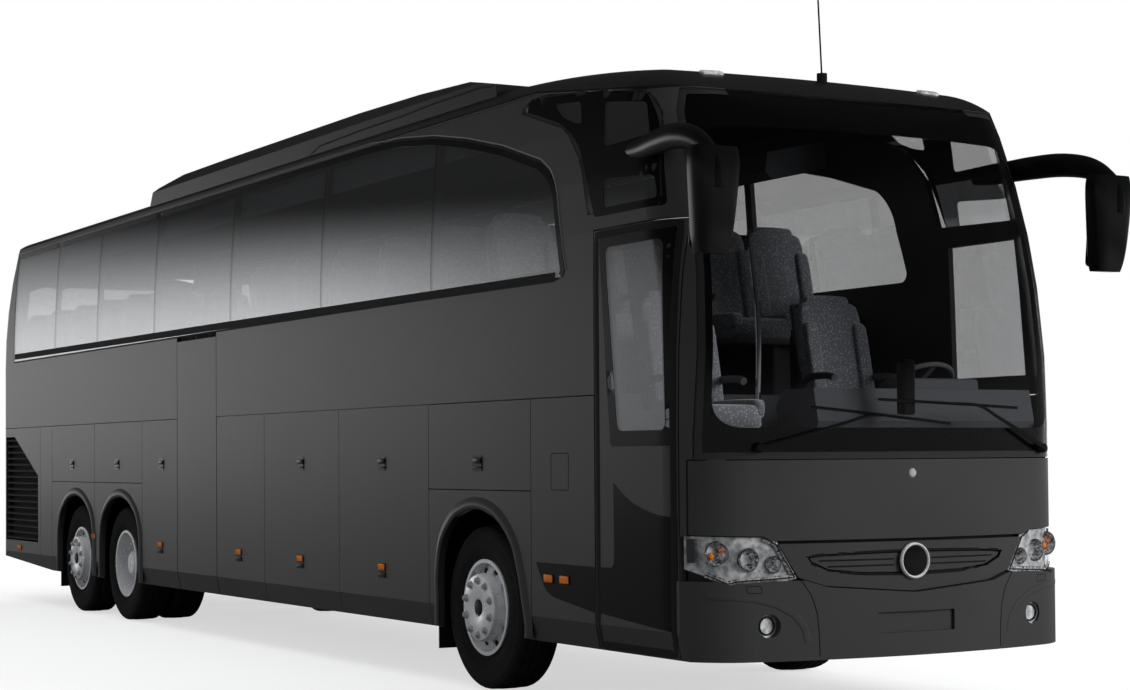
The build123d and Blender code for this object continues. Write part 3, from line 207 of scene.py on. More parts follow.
# Each finish: material name, base colour, roughness, metallic, other shader inputs, the mottle's
# spacing in mm with its dark and light colour, and the grain's spacing and height in mm
FINISHES = {
    # Toughened glass with a sputtered solar-control coat that mirrors half of a low glow
    "glass": ("solar_control_glass", "C4C6C9", 0.02, 1.0, {"Alpha": 0.46, "IOR": 1.52},
              None, None),
    # Laminated glass, lightly tinted and uncoated
    "screen": ("laminated_windscreen", "030304", 0.02, 0, {"Alpha": 0.15, "IOR": 1.52},
               None, None),
    # Fired ceramic print on the glass edge: opaque and black
    "print": ("ceramic_print", "030303", 0.22, 0, {"Specular IOR Level": 0.22}, None, None),
    # Injection-moulded polycarbonate: clear with a hard coat
    "lens": ("clear_polycarbonate", "14161A", 0.02, 0, {"Alpha": 0.10, "IOR": 1.58}, None, None),
    # Vacuum-metallised reflector; the glints of its pleats are painted as a mottle from dark grey
    # to white, a painted reflection
    "reflector": ("metallised_reflector", "F2F3F4", 0.10, 0.7, {}, (14, "4A4C4E", "FFFFFF"), None),
    "bezel": ("smoked_bezel", "B8BABD", 0.25, 0.6, {}, (40, "9A9DA0", "F0F1F2"), None),
    "red": ("red_acrylic", "8E0D0B", 0.12, 0, {"Coat Weight": 0.5}, None, None),
    "amber": ("amber_acrylic", "D9690F", 0.15, 0, {"Coat Weight": 0.5},
              (9, "A8440A", "E98A24"), None),
    # Moulded ABS, gloss or grained
    "gloss_black": ("gloss_abs", "060607", 0.28, 0, {"Specular IOR Level": 0.3}, None, None),
    "abs": ("grained_abs", "1B1C1D", 0.45, 0, {}, None, (3, 0.12)),
    # Extruded seals: matt black with a waxy bloom
    "rubber": ("epdm_rubber", "0C0C0C", 0.7, 0, {}, None, (6, 0.1)),
    # Rotomoulded arch liner, almost black
    "liner": ("arch_liner_polyethylene", "060606", 0.8, 0, {}, None, None),
    # Carbon-black tread rubber: dull, slightly brown where it has met the road
    "tyre": ("tread_rubber", "0B0B0B", 0.82, 0, {}, (60, "080808", "11100F"), (4, 0.25)),
    "zinc": ("zinc_plate", "B4B6B9", 0.3, 0.6, {}, None, None),
    "iron": ("sand_cast_iron", "1E1E1F", 0.62, 0.3, {}, None, (5, 0.4)),
    "chassis": ("chassis_enamel", "101011", 0.5, 0, {}, (240, "0D0D0E", "191715"), None),
    "floor": ("vinyl_floor", "2C2D30", 0.6, 0, {}, (6, "232427", "3A3B3F"), None),
    "sheet": ("bay_sheet_steel", "3A3B3C", 0.45, 0.4, {}, None, (12, 0.2)),
    "shell": ("seat_shell_polypropylene", "3C3D40", 0.55, 0, {}, None, (3, 0.15)),
    "trim": ("lined_hardboard", "55575A", 0.8, 0, {}, None, (5, 0.3)),
    # Hard-chromed steel and silvered mirror glass
    "chrome": ("chromed_steel", "DADCDF", 0.06, 1.0, {}, None, None),
    "mirror": ("silvered_mirror", "C9CCD0", 0.02, 1.0, {}, None, None),
}
# Satin two-pack paint: a fine orange peel and a broad soft highlight
SATIN = {"Coat Weight": 0.08, "Coat Roughness": 0.2}
ORANGE_PEEL = (5, 0.02)
PAINT_MOTTLE = 900


def make_finishes():
    """Every finish of the coach, under the name of the real material."""
    look = bpy.context.scene.coach_paint
    rows = dict(FINISHES)
    for key, name, dark, light in (
            ("paint", "satin_two_pack_paint", look.body_dark, look.body_light),
            ("roof", "satin_roof_paint", look.roof_dark, look.roof_light)):
        rows[key] = (name, dark, 0.38, 0, SATIN, (PAINT_MOTTLE, dark, light), ORANGE_PEEL)
    made = {"fabric": moquette(), "rim": polished_aluminium()}
    for key, (name, colour, roughness, metallic, inputs, mottle, grain) in rows.items():
        made[key], tree, shader = new_finish(name, colour, roughness, metallic, **inputs)
        if mottle:
            mottled(tree, shader, *mottle)
        if grain:
            grained(tree, shader, *grain)
    return made


# The finish of each CAD material slot
SLOT_FINISH = {
    "body_paint": "paint", "roof_paint": "roof", "tinted_glass": "glass", "clear_lens": "lens",
    "lamp_reflector": "bezel", "red_lens": "red", "amber_lens": "amber",
    "grille_plastic": "paint", "mirror_housing": "abs", "tyre_rubber": "tyre",
    "rim_aluminium": "rim", "hub_iron": "iron", "frame_paint": "chassis", "engine_iron": "iron",
    "underbody_plastic": "liner", "flap_rubber": "rubber", "wiper_steel": "abs",
    "dash_plastic": "shell", "trim_plastic": "trim", "floor_covering": "floor",
    "bay_sheet": "sheet", "seat_fabric": "fabric",
}
finishes = {}


# ---- Mesh makers: each gives (vertices, faces)


def moved(part, matrix):
    """A copy of a part under a 4x4 matrix."""
    return [matrix @ Vector(v) for v in part[0]], [tuple(f) for f in part[1]]


def shifted(part, x, y, z):
    return moved(part, Matrix.Translation((x, y, z)))


def merged(parts):
    """Several parts as one."""
    verts, faces = [], []
    for part in parts:
        base = len(verts)
        verts.extend(Vector(v) for v in part[0])
        faces.extend(tuple(base + i for i in f) for f in part[1])
    return verts, faces


def grid_faces(rows, size, round_rows=False, round_size=False):
    """Quads between rows of size points; a round one also joins its last to its first."""
    faces = []
    for row in range(rows if round_rows else rows - 1):
        near, far = row * size, (row + 1) % rows * size
        for step in range(size if round_size else size - 1):
            nxt = (step + 1) % size
            faces.append((near + step, near + nxt, far + nxt, far + step))
    return faces


def lathe(profile, segments):
    """A profile of (radius, y) turned round the Y axis."""
    verts = []
    for index in range(segments):
        angle = math.tau * index / segments
        verts += [(r * math.cos(angle), y, r * math.sin(angle)) for r, y in profile]
    return verts, grid_faces(segments, len(profile), round_rows=True)


def rounded_box(size, radius, rings=3):
    """A box about its own middle with rounded edges."""
    mesh = bmesh.new()
    bmesh.ops.create_cube(mesh, size=1.0)
    bmesh.ops.scale(mesh, vec=size, verts=mesh.verts)
    bmesh.ops.bevel(mesh, geom=mesh.edges[:], offset=radius, segments=rings, affect="EDGES",
                    profile=0.5, clamp_overlap=True)
    mesh.verts.ensure_lookup_table()
    mesh.verts.index_update()
    part = [v.co.copy() for v in mesh.verts], [tuple(v.index for v in f.verts) for f in mesh.faces]
    mesh.free()
    return part


def block(size, radius, x=0, y=0, z=0, rings=3):
    """A rounded box with its middle at a place."""
    return shifted(rounded_box(size, radius, rings), x, y, z)


def rectangle(u, v, width, height):
    """A flat outline about its middle."""
    return [(u - width / 2, v - height / 2), (u + width / 2, v - height / 2),
            (u + width / 2, v + height / 2), (u - width / 2, v + height / 2)]


def swept(points, radius, segments=12, closed=False, flat=1.0):
    """A round tube along points; flat squeezes it across the second axis."""
    points = [Vector(p) for p in points]
    count = len(points)
    verts = []
    side = None
    for index, point in enumerate(points):
        ahead = points[(index + 1) % count] if closed else points[min(index + 1, count - 1)]
        behind = points[index - 1] if closed else points[max(index - 1, 0)]
        along = (ahead - behind).normalized()
        if side is None:
            side = along.cross(Vector((0, 0, 1)))
            if side.length < 1e-4:
                side = along.cross(Vector((0, 1, 0)))
        side = (side - along * side.dot(along)).normalized()
        up = along.cross(side)
        size = radius[index] if isinstance(radius, (list, tuple)) else radius
        for step in range(segments):
            angle = math.tau * step / segments
            verts.append(point + side * math.cos(angle) * size * flat
                         + up * math.sin(angle) * size)
    faces = grid_faces(count, segments, closed, True)
    if not closed:
        faces.append(tuple(range(segments - 1, -1, -1)))
        last = (count - 1) * segments
        faces.append(tuple(last + step for step in range(segments)))
    return verts, faces


def smooth_path(points, steps=8):
    """A Catmull-Rom line through points."""
    points = [Vector(p) for p in points]
    out = []
    for index in range(len(points) - 1):
        a = points[max(index - 1, 0)]
        b, c = points[index], points[index + 1]
        d = points[min(index + 2, len(points) - 1)]
        for step in range(steps):
            t = step / steps
            out.append(0.5 * (2 * b + (c - a) * t + (2 * a - 5 * b + 4 * c - d) * t * t
                              + (3 * b - a - 3 * c + d) * t ** 3))
    out.append(points[-1])
    return out


def prism(outline, depth):
    """A flat outline in X and Z made solid from y 0 to y depth."""
    count = len(outline)
    verts = [(x, 0.0, z) for x, z in outline] + [(x, depth, z) for x, z in outline]
    faces = [tuple(range(count)), tuple(range(2 * count - 1, count - 1, -1))]
    for index in range(count):
        nxt = (index + 1) % count
        faces.append((index, index + count, nxt + count, nxt))
    return verts, faces


def round_corners(outline, radius, steps=5):
    """A flat outline with each corner cut by an arc-like curve."""
    out = []
    count = len(outline)
    for index in range(count):
        corner = Vector(outline[index])
        before = Vector(outline[index - 1]) - corner
        after = Vector(outline[(index + 1) % count]) - corner
        size = min(radius, before.length * 0.45, after.length * 0.45)
        start = corner + before.normalized() * size
        end = corner + after.normalized() * size
        for step in range(steps + 1):
            t = step / steps
            out.append(start * (1 - t) ** 2 + corner * 2 * t * (1 - t) + end * t * t)
    return [tuple(p) for p in out]


def put(name, part, finish, body=BODY, smooth=40, stands_for=()):
    """Make a piece from a part: its finish, body and the nodes it replaces."""
    mesh = bpy.data.meshes.new(name)
    mesh.from_pydata([tuple(v) for v in part[0]], [], part[1])
    mesh.validate()
    tidy = bmesh.new()
    tidy.from_mesh(mesh)
    bmesh.ops.remove_doubles(tidy, verts=tidy.verts, dist=1e-5)
    bmesh.ops.recalc_face_normals(tidy, faces=tidy.faces)
    tidy.to_mesh(mesh)
    tidy.free()
    return put_mesh(name, mesh, finish, body, smooth, stands_for)


def put_mesh(name, mesh, finish, body=BODY, smooth=40, stands_for=()):
    """Make a piece from a mesh that may be shared. Its material is its finish, unless the mesh has
    one already.
    """
    if not mesh.materials:
        mesh.materials.append(finishes[finish])
    mesh.shade_smooth()
    if smooth:
        mesh.set_sharp_from_angle(angle=math.radians(smooth))
    piece = bpy.data.objects.new(name, mesh)
    bpy.context.scene.collection.objects.link(piece)
    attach(piece, body)
    if stands_for:
        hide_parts(*stands_for)
    return piece


# ---- Working on the coach's skin


def skin_of(*names):
    """A search tree over the faces of these CAD nodes."""
    verts, faces = [], []
    for name in names:
        mesh = nodes[name].data
        base = len(verts)
        verts.extend(v.co.copy() for v in mesh.vertices)
        faces.extend(tuple(base + i for i in p.vertices) for p in mesh.polygons)
    return BVHTree.FromPolygons(verts, faces)


def view_ray(view, u, v):
    """Start and direction of a ray onto the skin. u, v are station and height on a side,
    Y and height on the front or rear, and station and Y on the top."""
    if view == "right":
        return Vector((at(u), -FAR, v)), Vector((0, 1, 0))
    if view == "left":
        return Vector((at(u), FAR, v)), Vector((0, -1, 0))
    if view == "front":
        return Vector((FAR, u, v)), Vector((-1, 0, 0))
    if view == "rear":
        return Vector((-FAR, u, v)), Vector((1, 0, 0))
    return Vector((at(u), v, FAR)), Vector((0, 0, -1))


# A ray that falls into a panel gap is tried again this far to each side
SEAM = 0.008
SEAM_STEPS = [(0, 0), (0, SEAM), (0, -SEAM), (SEAM, 0), (-SEAM, 0), (0, 2 * SEAM), (0, -2 * SEAM),
              (2 * SEAM, 0), (-2 * SEAM, 0)]


def on_skin(tree, view, u, v, lift=0.0):
    """The point of the skin seen at u, v, and its outward normal."""
    for du, dv in SEAM_STEPS:
        start, along = view_ray(view, u + du, v + dv)
        place, normal, _, _ = tree.ray_cast(start, along)
        if place is not None:
            place = place - view_ray(view, u + du, v + dv)[0] + view_ray(view, u, v)[0]
            break
    if place is None:
        raise RuntimeError(f"no skin in the {view} view at {u:.3f}, {v:.3f}")
    if normal.dot(along) > 0:
        normal = -normal
    return place + normal * lift, normal


def inside(point, outline):
    """Whether a flat point lies in an outline."""
    x, y = point
    hit = False
    for index in range(len(outline)):
        x1, y1 = outline[index - 1]
        x2, y2 = outline[index]
        if (y1 > y) != (y2 > y) and x < (x2 - x1) * (y - y1) / (y2 - y1) + x1:
            hit = not hit
    return hit


def divided(outline, step, closed=True):
    """Points at most a step apart along a flat line."""
    out = []
    count = len(outline)
    for index in range(count if closed else count - 1):
        a, b = Vector(outline[index]), Vector(outline[(index + 1) % count])
        parts = max(1, math.ceil((b - a).length / step))
        out.extend(tuple(a.lerp(b, i / parts)) for i in range(parts))
    if not closed:
        out.append(tuple(outline[-1]))
    return out


def skin_patch(tree, view, outline, lift, depth, holes=(), step=0.06):
    """A thin sheet over the skin inside a flat outline, with a turned-down edge."""
    loops = [divided(outline, step)] + [divided(hole, step) for hole in holes]
    verts, edges = [], []
    for loop in loops:
        base = len(verts)
        verts.extend(Vector(p) for p in loop)
        edges.extend((base + i, base + (i + 1) % len(loop)) for i in range(len(loop)))
    low_u, high_u = min(p[0] for p in loops[0]), max(p[0] for p in loops[0])
    low_v, high_v = min(p[1] for p in loops[0]), max(p[1] for p in loops[0])

    def within(p):
        return inside(p, loops[0]) and not any(inside(p, hole) for hole in loops[1:])

    # The inner points keep clear of lines through the outline's own points
    off_u, off_v = 0.0011, 0.0007
    for i in range(1, int((high_u - low_u) / step) + 1):
        for j in range(1, int((high_v - low_v) / step) + 1):
            p = (low_u + i * step + off_u, low_v + j * step + off_v)
            if within(p):
                verts.append(Vector(p))
    flat, _, faces, _, _, _ = geometry.delaunay_2d_cdt(verts, edges, [], 0, 1e-6)
    kept = []
    for face in faces:
        centre = sum((Vector(flat[i]) for i in face), Vector((0, 0))) / len(face)
        if within(centre):
            kept.append(tuple(face))
    used = sorted({i for face in kept for i in face})
    index = {old: new for new, old in enumerate(used)}
    kept = [tuple(index[i] for i in face) for face in kept]
    top, under = [], []
    for old in used:
        place, normal = on_skin(tree, view, *flat[old])
        top.append(place + normal * lift)
        under.append(place + normal * (lift - depth))
    count = len(top)
    sides = dict.fromkeys((face[i], face[(i + 1) % 3]) for face in kept for i in range(3))
    rim = [(a, b, b + count, a + count) for a, b in sides if (b, a) not in sides]
    back = [tuple(i + count for i in reversed(face)) for face in kept]
    return top + under, kept + back + rim


def skin_strip(tree, view, path, width, lift, depth, closed=False, step=0.05, crown=0.0):
    """A bead of flat or crowned section laid along the skin."""
    points = divided(path, step, closed)
    places = [on_skin(tree, view, u, v) for u, v in points]
    count = len(places)
    verts = []
    across = [(-0.5, -depth), (-0.5, 0.0), (-0.25, crown * 0.8), (0.25, crown * 0.8), (0.5, 0.0),
              (0.5, -depth)]
    for i, (place, normal) in enumerate(places):
        ahead = places[(i + 1) % count][0] if closed else places[min(i + 1, count - 1)][0]
        behind = places[i - 1][0] if closed else places[max(i - 1, 0)][0]
        side = (ahead - behind).cross(normal).normalized()
        for share, height in across:
            verts.append(place + side * share * width + normal * (lift + height))
    size = len(across)
    faces = grid_faces(count, size, closed, True)
    if not closed:
        faces.append(tuple(range(size)))
        faces.append(tuple(range(count * size - 1, (count - 1) * size - 1, -1)))
    return verts, faces


def seated(part, tree, view, u, v, lift=0.0, spin=0.0):
    """A part drawn with Y as its outward axis, set upright on the skin at u, v."""
    place, normal = on_skin(tree, view, u, v, lift)
    up = Vector((0, 0, 1)) if view != "top" else Vector((1, 0, 0))
    x = normal.cross(up).normalized()
    z = x.cross(normal).normalized()
    basis = Matrix((x, normal, z)).transposed().to_4x4()
    basis.translation = place
    return moved(part, basis @ Matrix.Rotation(spin, 4, "Y"))


# The nose of the coach and the radii of its curved form
NOSE = at(2.72)
HALF_WIDTH = 1.275
SIDE_RADIUS, SIDE_FOOT = 11.4, 2.4
NOSE_RADIUS, NOSE_FOOT = 4.3, 1.6
PLAN_RADIUS, CORNER_RADIUS = 4.0, 0.4
TAIL, TAIL_RADIUS, TAIL_PLAN_RADIUS = CAD_BOX[0][0], 2.6, 9.0


def fair_normal(place):
    """The outward normal of the coach's curved form near a place on its skin."""
    rise = max(0.0, place.z - SIDE_FOOT)
    half = HALF_WIDTH - SIDE_RADIUS + math.sqrt(SIDE_RADIUS ** 2 - rise ** 2)
    lean_side = math.asin(rise / SIDE_RADIUS)
    up = max(0.0, place.z - NOSE_FOOT)
    lean_front = math.asin(min(1.0, up / NOSE_RADIUS))
    nose = NOSE - NOSE_RADIUS + math.sqrt(NOSE_RADIUS ** 2 - up ** 2)
    centre = half - CORNER_RADIUS
    bend = centre / (PLAN_RADIUS - CORNER_RADIUS)
    reach = abs(place.y)
    deep = PLAN_RADIUS - (PLAN_RADIUS - CORNER_RADIUS) * math.sqrt(1 - bend ** 2)
    if place.x < nose - deep:
        sine = 1.0
    elif reach < centre + CORNER_RADIUS * bend:
        sine = reach / PLAN_RADIUS
    else:
        sine = min(1.0, (reach - centre) / CORNER_RADIUS)
    cosine = math.sqrt(1 - sine ** 2)
    return Vector((cosine * math.cos(lean_front),
                   math.copysign(sine * math.cos(lean_side), place.y),
                   cosine * math.sin(lean_front) + sine * math.sin(lean_side))).normalized()


def faired(mesh):
    """Turn a mesh's shading to the coach's curved form wherever its faces follow it."""
    follows = 0.97
    turned = [Vector((0, 0, 1))] * len(mesh.loops)
    for face in mesh.polygons:
        for index in face.loop_indices:
            normal = fair_normal(mesh.vertices[mesh.loops[index].vertex_index].co)
            share = normal.dot(face.normal)
            turned[index] = (normal * math.copysign(1, share) if abs(share) > follows
                             else face.normal.copy())
    mesh.normals_split_custom_set(turned)


# ---- Sizes that a user may change


class CoachPaint(bpy.types.PropertyGroup):
    """Paint colours, as sRGB hex."""

    body_dark: StringProperty(name="Body, dark", description="Darker value of the body paint",
                              default="262627")
    body_light: StringProperty(name="Body, light", description="Lighter value of the body paint",
                               default="2A2A2B")
    roof_dark: StringProperty(name="Roof, dark", description="Darker value of the roof paint",
                              default="0A0A0B")
    roof_light: StringProperty(name="Roof, light", description="Lighter value of the roof paint",
                               default="0E0E0F")


class CoachWheels(bpy.types.PropertyGroup):
    """Tyre and wheel sizes."""

    steps: IntProperty(name="Steps round", description="Mesh steps round a tyre", default=240)
    groove: FloatProperty(name="Groove depth", description="Depth of the tread grooves",
                          default=0.013, unit="LENGTH")
    nuts: IntProperty(name="Nuts", description="Nuts on a wheel", default=10)
    nut_circle: FloatProperty(name="Nut circle", description="Radius of the nut circle",
                              default=0.1675, unit="LENGTH")
    nut_size: FloatProperty(name="Nut size", description="Across the flats of a nut",
                            default=0.033, unit="LENGTH")


class CoachTrim(bpy.types.PropertyGroup):
    """Seals, prints and latches."""

    seal_width: FloatProperty(name="Seal width", description="Width of the bonded glass seal",
                              default=0.014, unit="LENGTH")
    latch_size: FloatVectorProperty(name="Latch", description="Width and height of a flap latch",
                                    default=(0.13, 0.098), size=2, unit="LENGTH")
    marker_size: FloatVectorProperty(name="Marker", size=2, unit="LENGTH",
                                     description="Width and height of an amber side marker",
                                     default=(0.115, 0.055))


class CoachSeats(bpy.types.PropertyGroup):
    """Seat sizes."""

    width: FloatProperty(name="Seat width", description="Width of one seat", default=0.455,
                         unit="LENGTH")
    back_lean: FloatProperty(name="Back lean", description="Lean of a seat back", default=0.22,
                             unit="ROTATION")


class CoachStage(bpy.types.PropertyGroup):
    """Camera and light."""

    camera_place: FloatVectorProperty(name="Camera", description="Place of the camera ahead of "
                                      "the front axle", default=(12.1224, -7.4327, 1.4293),
                                      size=3, unit="LENGTH")
    yaw: FloatProperty(name="Yaw", description="Turn of the camera from straight astern",
                       default=math.radians(29.2516), unit="ROTATION")
    pitch: FloatProperty(name="Pitch", description="Upward tilt of the camera",
                         default=math.radians(1.376), unit="ROTATION")
    roll: FloatProperty(name="Roll", description="Roll of the camera",
                        default=math.radians(-0.4301), unit="ROTATION")
    lens: FloatProperty(name="Lens", description="Focal length in millimetres", default=69.88)


# ---- Operators


class COACH_OT_finishes(bpy.types.Operator):
    """Make the materials and give each CAD node its own"""

    bl_idname = "coach.finishes"
    bl_label = "Finishes"

    def execute(self, context):
        finishes.update(make_finishes())
        slots = {row["node"]: row["material_slot"] for row in frame["record"]["subparts"]}
        for name, node in nodes.items():
            finish = finishes[SLOT_FINISH[slots[name]]]
            if name == "windscreen":
                finish = finishes["screen"]
            for slot in node.material_slots:
                slot.material = finish
        return {"FINISHED"}


class COACH_OT_faired_panes(bpy.types.Operator):
    """Panes whose reflections follow the coach's curve, not the facets of its mesh"""

    bl_idname = "coach.faired_panes"
    bl_label = "Faired panes"

    def execute(self, context):
        for name, finish, body in (("windows", "glass", BODY), ("windscreen", "screen", BODY),
                                   ("front_door_glass", "glass", "front_door")):
            mesh = nodes[name].data.copy()
            mesh.materials.clear()
            put_mesh(f"faired_{name}",
                     mesh, finish, body, smooth=None, stands_for=(name,))
            faired(mesh)
        return {"FINISHED"}


def tread_profile(groove):
    """Tyre section from bead to bead as (radius, y), with four grooves in the crown."""
    side = [
        (0.2905, 0.110), (0.300, 0.1195), (0.312, 0.122), (0.330, 0.1295), (0.334, 0.1325),
        (0.342, 0.1328), (0.362, 0.1392), (0.366, 0.1412), (0.372, 0.1412), (0.398, 0.1448),
        (0.425, 0.1440), (0.446, 0.1412), (0.449, 0.1424), (0.456, 0.1418), (0.472, 0.1380),
        (0.484, 0.1335), (0.494, 0.1270), (0.5005, 0.1185), (0.5035, 0.1080),
    ]
    crown = []
    for centre in (0.080, 0.027):
        edge = 0.0055
        top = 0.5075 - (centre / 0.145) ** 2 * 0.010
        crown += [(top, centre + edge + 0.002), (top - groove, centre + edge - 0.002),
                  (top - groove, centre - edge + 0.002), (top, centre - edge - 0.002)]
    half = side + crown
    return half + [(r, -y) for r, y in reversed(half)]


def tyre_part(steps, groove):
    """A ribbed highway tyre: wavy grooves and notched shoulders."""
    profile = tread_profile(groove)
    wave, notch = 0.0022, 0.006
    verts = []
    for step in range(steps):
        angle = math.tau * step / steps
        for radius, y in profile:
            if radius > 0.48 and abs(y) < 0.098:
                y += wave * (1 if step % 8 < 4 else -1)
            if radius > 0.495 and 0.100 < abs(y) < 0.125 and step % 5 == 0:
                radius -= notch
            verts.append((radius * math.cos(angle), y, radius * math.sin(angle)))
    return verts, grid_faces(steps, len(profile), round_rows=True)


class COACH_OT_tyres(bpy.types.Operator):
    """Ribbed highway tyres in place of the plain solids"""

    bl_idname = "coach.tyres"
    bl_label = "Tyres"

    def execute(self, context):
        look = context.scene.coach_wheels
        part = tyre_part(look.steps, look.groove)
        for place in WHEELS:
            for side, sign in SIDES.items():
                low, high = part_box(f"tyre_{place}_{side}")
                width = TYRE_HIGH.y - TYRE_LOW.y
                middle = Vector(((low.x + high.x) / 2, 0, (low.z + high.z) / 2))
                outer = (high.y if sign > 0 else low.y) - sign * width / 2
                inner = (low.y if sign > 0 else high.y) + sign * width / 2
                centres = [outer] if abs(outer - inner) < width / 2 else [outer, inner]
                parts = [shifted(part, middle.x, y, middle.z) for y in centres]
                put(f"tread_{place}_{side}", merged(parts), "tyre", f"wheel_{place}_{side}",
                    smooth=30, stands_for=(f"tyre_{place}_{side}",))
        return {"FINISHED"}


def nut_part(size):
    """A flanged wheel nut about the Y axis, with the stud's end in it."""
    flange = lathe([(0.0, 0.0), (size * 0.78, 0.0), (size * 0.78, 0.004), (size * 0.62, 0.009),
                    (0.0, 0.009)], 16)
    corner = size / 2 / math.cos(math.pi / 6)
    hexagon = lathe([(0.0, 0.008), (corner, 0.008), (corner, 0.018), (corner * 0.86, 0.021),
                     (0.0, 0.021)], 6)
    stud = lathe([(0.0, 0.020), (size * 0.33, 0.020), (size * 0.33, 0.024),
                  (size * 0.27, 0.026), (0.0, 0.026)], 12)
    return merged([flange, hexagon, stud])


# Hand holes of a wheel's disc, and how far out the hub plates of the single wheels stand
HAND_HOLES = 10
HOLE_CIRCLE = 0.226
HOLE_RADIUS = 0.0262
HUB_FACE = 1.270


class COACH_OT_wheel_nuts(bpy.types.Operator):
    """Wheel nuts, and the hub plates, caps and hand holes of the single wheels, the holes' dark
    shade painted on as black discs
    """

    bl_idname = "coach.wheel_nuts"
    bl_label = "Wheel nuts"

    def execute(self, context):
        look = context.scene.coach_wheels
        nut = nut_part(look.nut_size)
        plate = lathe([(0.0, 1.258), (0.044, 1.258), (0.052, 1.260), (0.054, 1.268),
                       (0.060, 1.270), (0.194, 1.270), (0.203, 1.267), (0.208, 1.260),
                       (0.2105, 1.250), (0.2105, 1.150), (0.206, 1.150), (0.206, 1.244),
                       (0.0, 1.252)], 72)
        # Black discs set into the hand holes: painted shade where the holes look dark
        shade = lathe([(0.0, 0.002), (HOLE_RADIUS, 0.002), (HOLE_RADIUS, -0.002), (0.0, -0.002)],
                      24)
        cap = lathe([(0.0, 1.279), (0.030, 1.278), (0.043, 1.273), (0.050, 1.262),
                     (0.050, 1.250), (0.0, 1.250)], 40)
        step = math.tau / HAND_HOLES
        for place in WHEELS:
            single = place != "drive"
            for side, sign in SIDES.items():
                tree = skin_of(f"rim_{place}_{side}")
                low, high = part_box(f"rim_{place}_{side}")
                x, z = (low.x + high.x) / 2, TYRE_RADIUS
                facing = Matrix.Rotation(0 if sign > 0 else math.pi, 4, "Z")
                hub = Matrix.Translation((x, 0, z)) @ facing
                wheel = f"wheel_{place}_{side}"
                if single:
                    put(f"hub_plate_{place}_{side}", moved(plate, hub), "rim", wheel, smooth=30)
                    put(f"hub_cap_{place}_{side}", moved(cap, hub), "abs", wheel, smooth=30)
                    web = on_skin(tree, side, x + HOLE_CIRCLE * math.cos(step / 2) - AXLE_X,
                                  z + HOLE_CIRCLE * math.sin(step / 2))[0].y
                    holes = [shifted(shade, x + HOLE_CIRCLE * math.cos(step * index),
                                     web - sign * 0.008, z + HOLE_CIRCLE * math.sin(step * index))
                             for index in range(HAND_HOLES)]
                    put(f"hole_painted_shade_{place}_{side}", merged(holes), "liner", wheel,
                        smooth=30)
                nuts = []
                for index in range(look.nuts):
                    angle = math.tau * (index + 0.5) / look.nuts
                    spot = on_skin(tree, side, x + look.nut_circle * math.cos(angle) - AXLE_X,
                                   z + look.nut_circle * math.sin(angle))[0]
                    if single:
                        spot.y = sign * HUB_FACE
                    nuts.append(moved(nut, Matrix.Translation(spot) @ facing))
                put(f"nuts_{place}_{side}", merged(nuts), "zinc", wheel, smooth=30)
        return {"FINISHED"}


# ---- Side trim

# Flap latches: side, station and the luggage bay whose flap carries one
LATCH_LEVEL = 1.400
LATCHES = [
    ("right", -8.562, None), ("right", -7.170, None), ("right", -5.944, None),
    ("right", -2.837, "middle"), ("right", -1.407, "front"), ("right", 0.018, None),
    ("left", -8.562, None), ("left", -7.170, None), ("left", -4.300, "rear"),
    ("left", -2.837, "middle"), ("left", -1.407, "front"), ("left", 0.018, None),
]
# Amber side markers: side, station, height, bay, and whether a finger pull is below
MARKERS = [
    ("right", -10.400, 0.550, None, False), ("right", -7.866, 0.735, None, False),
    ("right", -5.976, 0.712, None, True), ("right", -4.104, 0.712, "rear", True),
    ("right", -2.850, 0.708, "middle", True), ("right", -1.415, 0.703, "front", True),
    ("left", -10.400, 0.550, None, False), ("left", -7.866, 0.735, None, False),
    ("left", -4.104, 0.712, "rear", True), ("left", -2.850, 0.708, "middle", True),
    ("left", -1.415, 0.703, "front", True),
]
PULL_DROP = 0.052
TURN_LAMPS = (("right", 0.922), ("right", 1.112), ("left", 0.922))
TURN_LEVEL = 0.728


def carrier(side, bay):
    """The body that carries a latch or marker, and the skin it sits on."""
    flap = f"luggage_flap_{side}_{bay}"
    return (flap, skin_of(flap)) if bay else (BODY, skin_of(f"side_panels_{side}"))


def latch_part(width, height):
    """A flush paddle latch: a raised frame, a recessed dish and a finger plate."""
    frame_out = round_corners(rectangle(0, 0, width, height), 0.014)
    plate = shifted(prism(frame_out, 0.004), 0, -0.001, 0)
    ledge = 0.009
    inner = [(x * (1 - 2 * ledge / width), z * (1 - 2 * ledge / height)) for x, z in frame_out]
    dish = shifted(prism(inner, 0.0022), 0, 0.003, 0)
    paddle = block((width * 0.78, 0.007, height * 0.34), 0.003, 0, 0.0062,
                     height * 0.16)
    lip = block((width * 0.78, 0.005, height * 0.10), 0.002, 0, 0.0058,
                  -height * 0.27)
    return merged([plate, dish]), merged([paddle, lip])


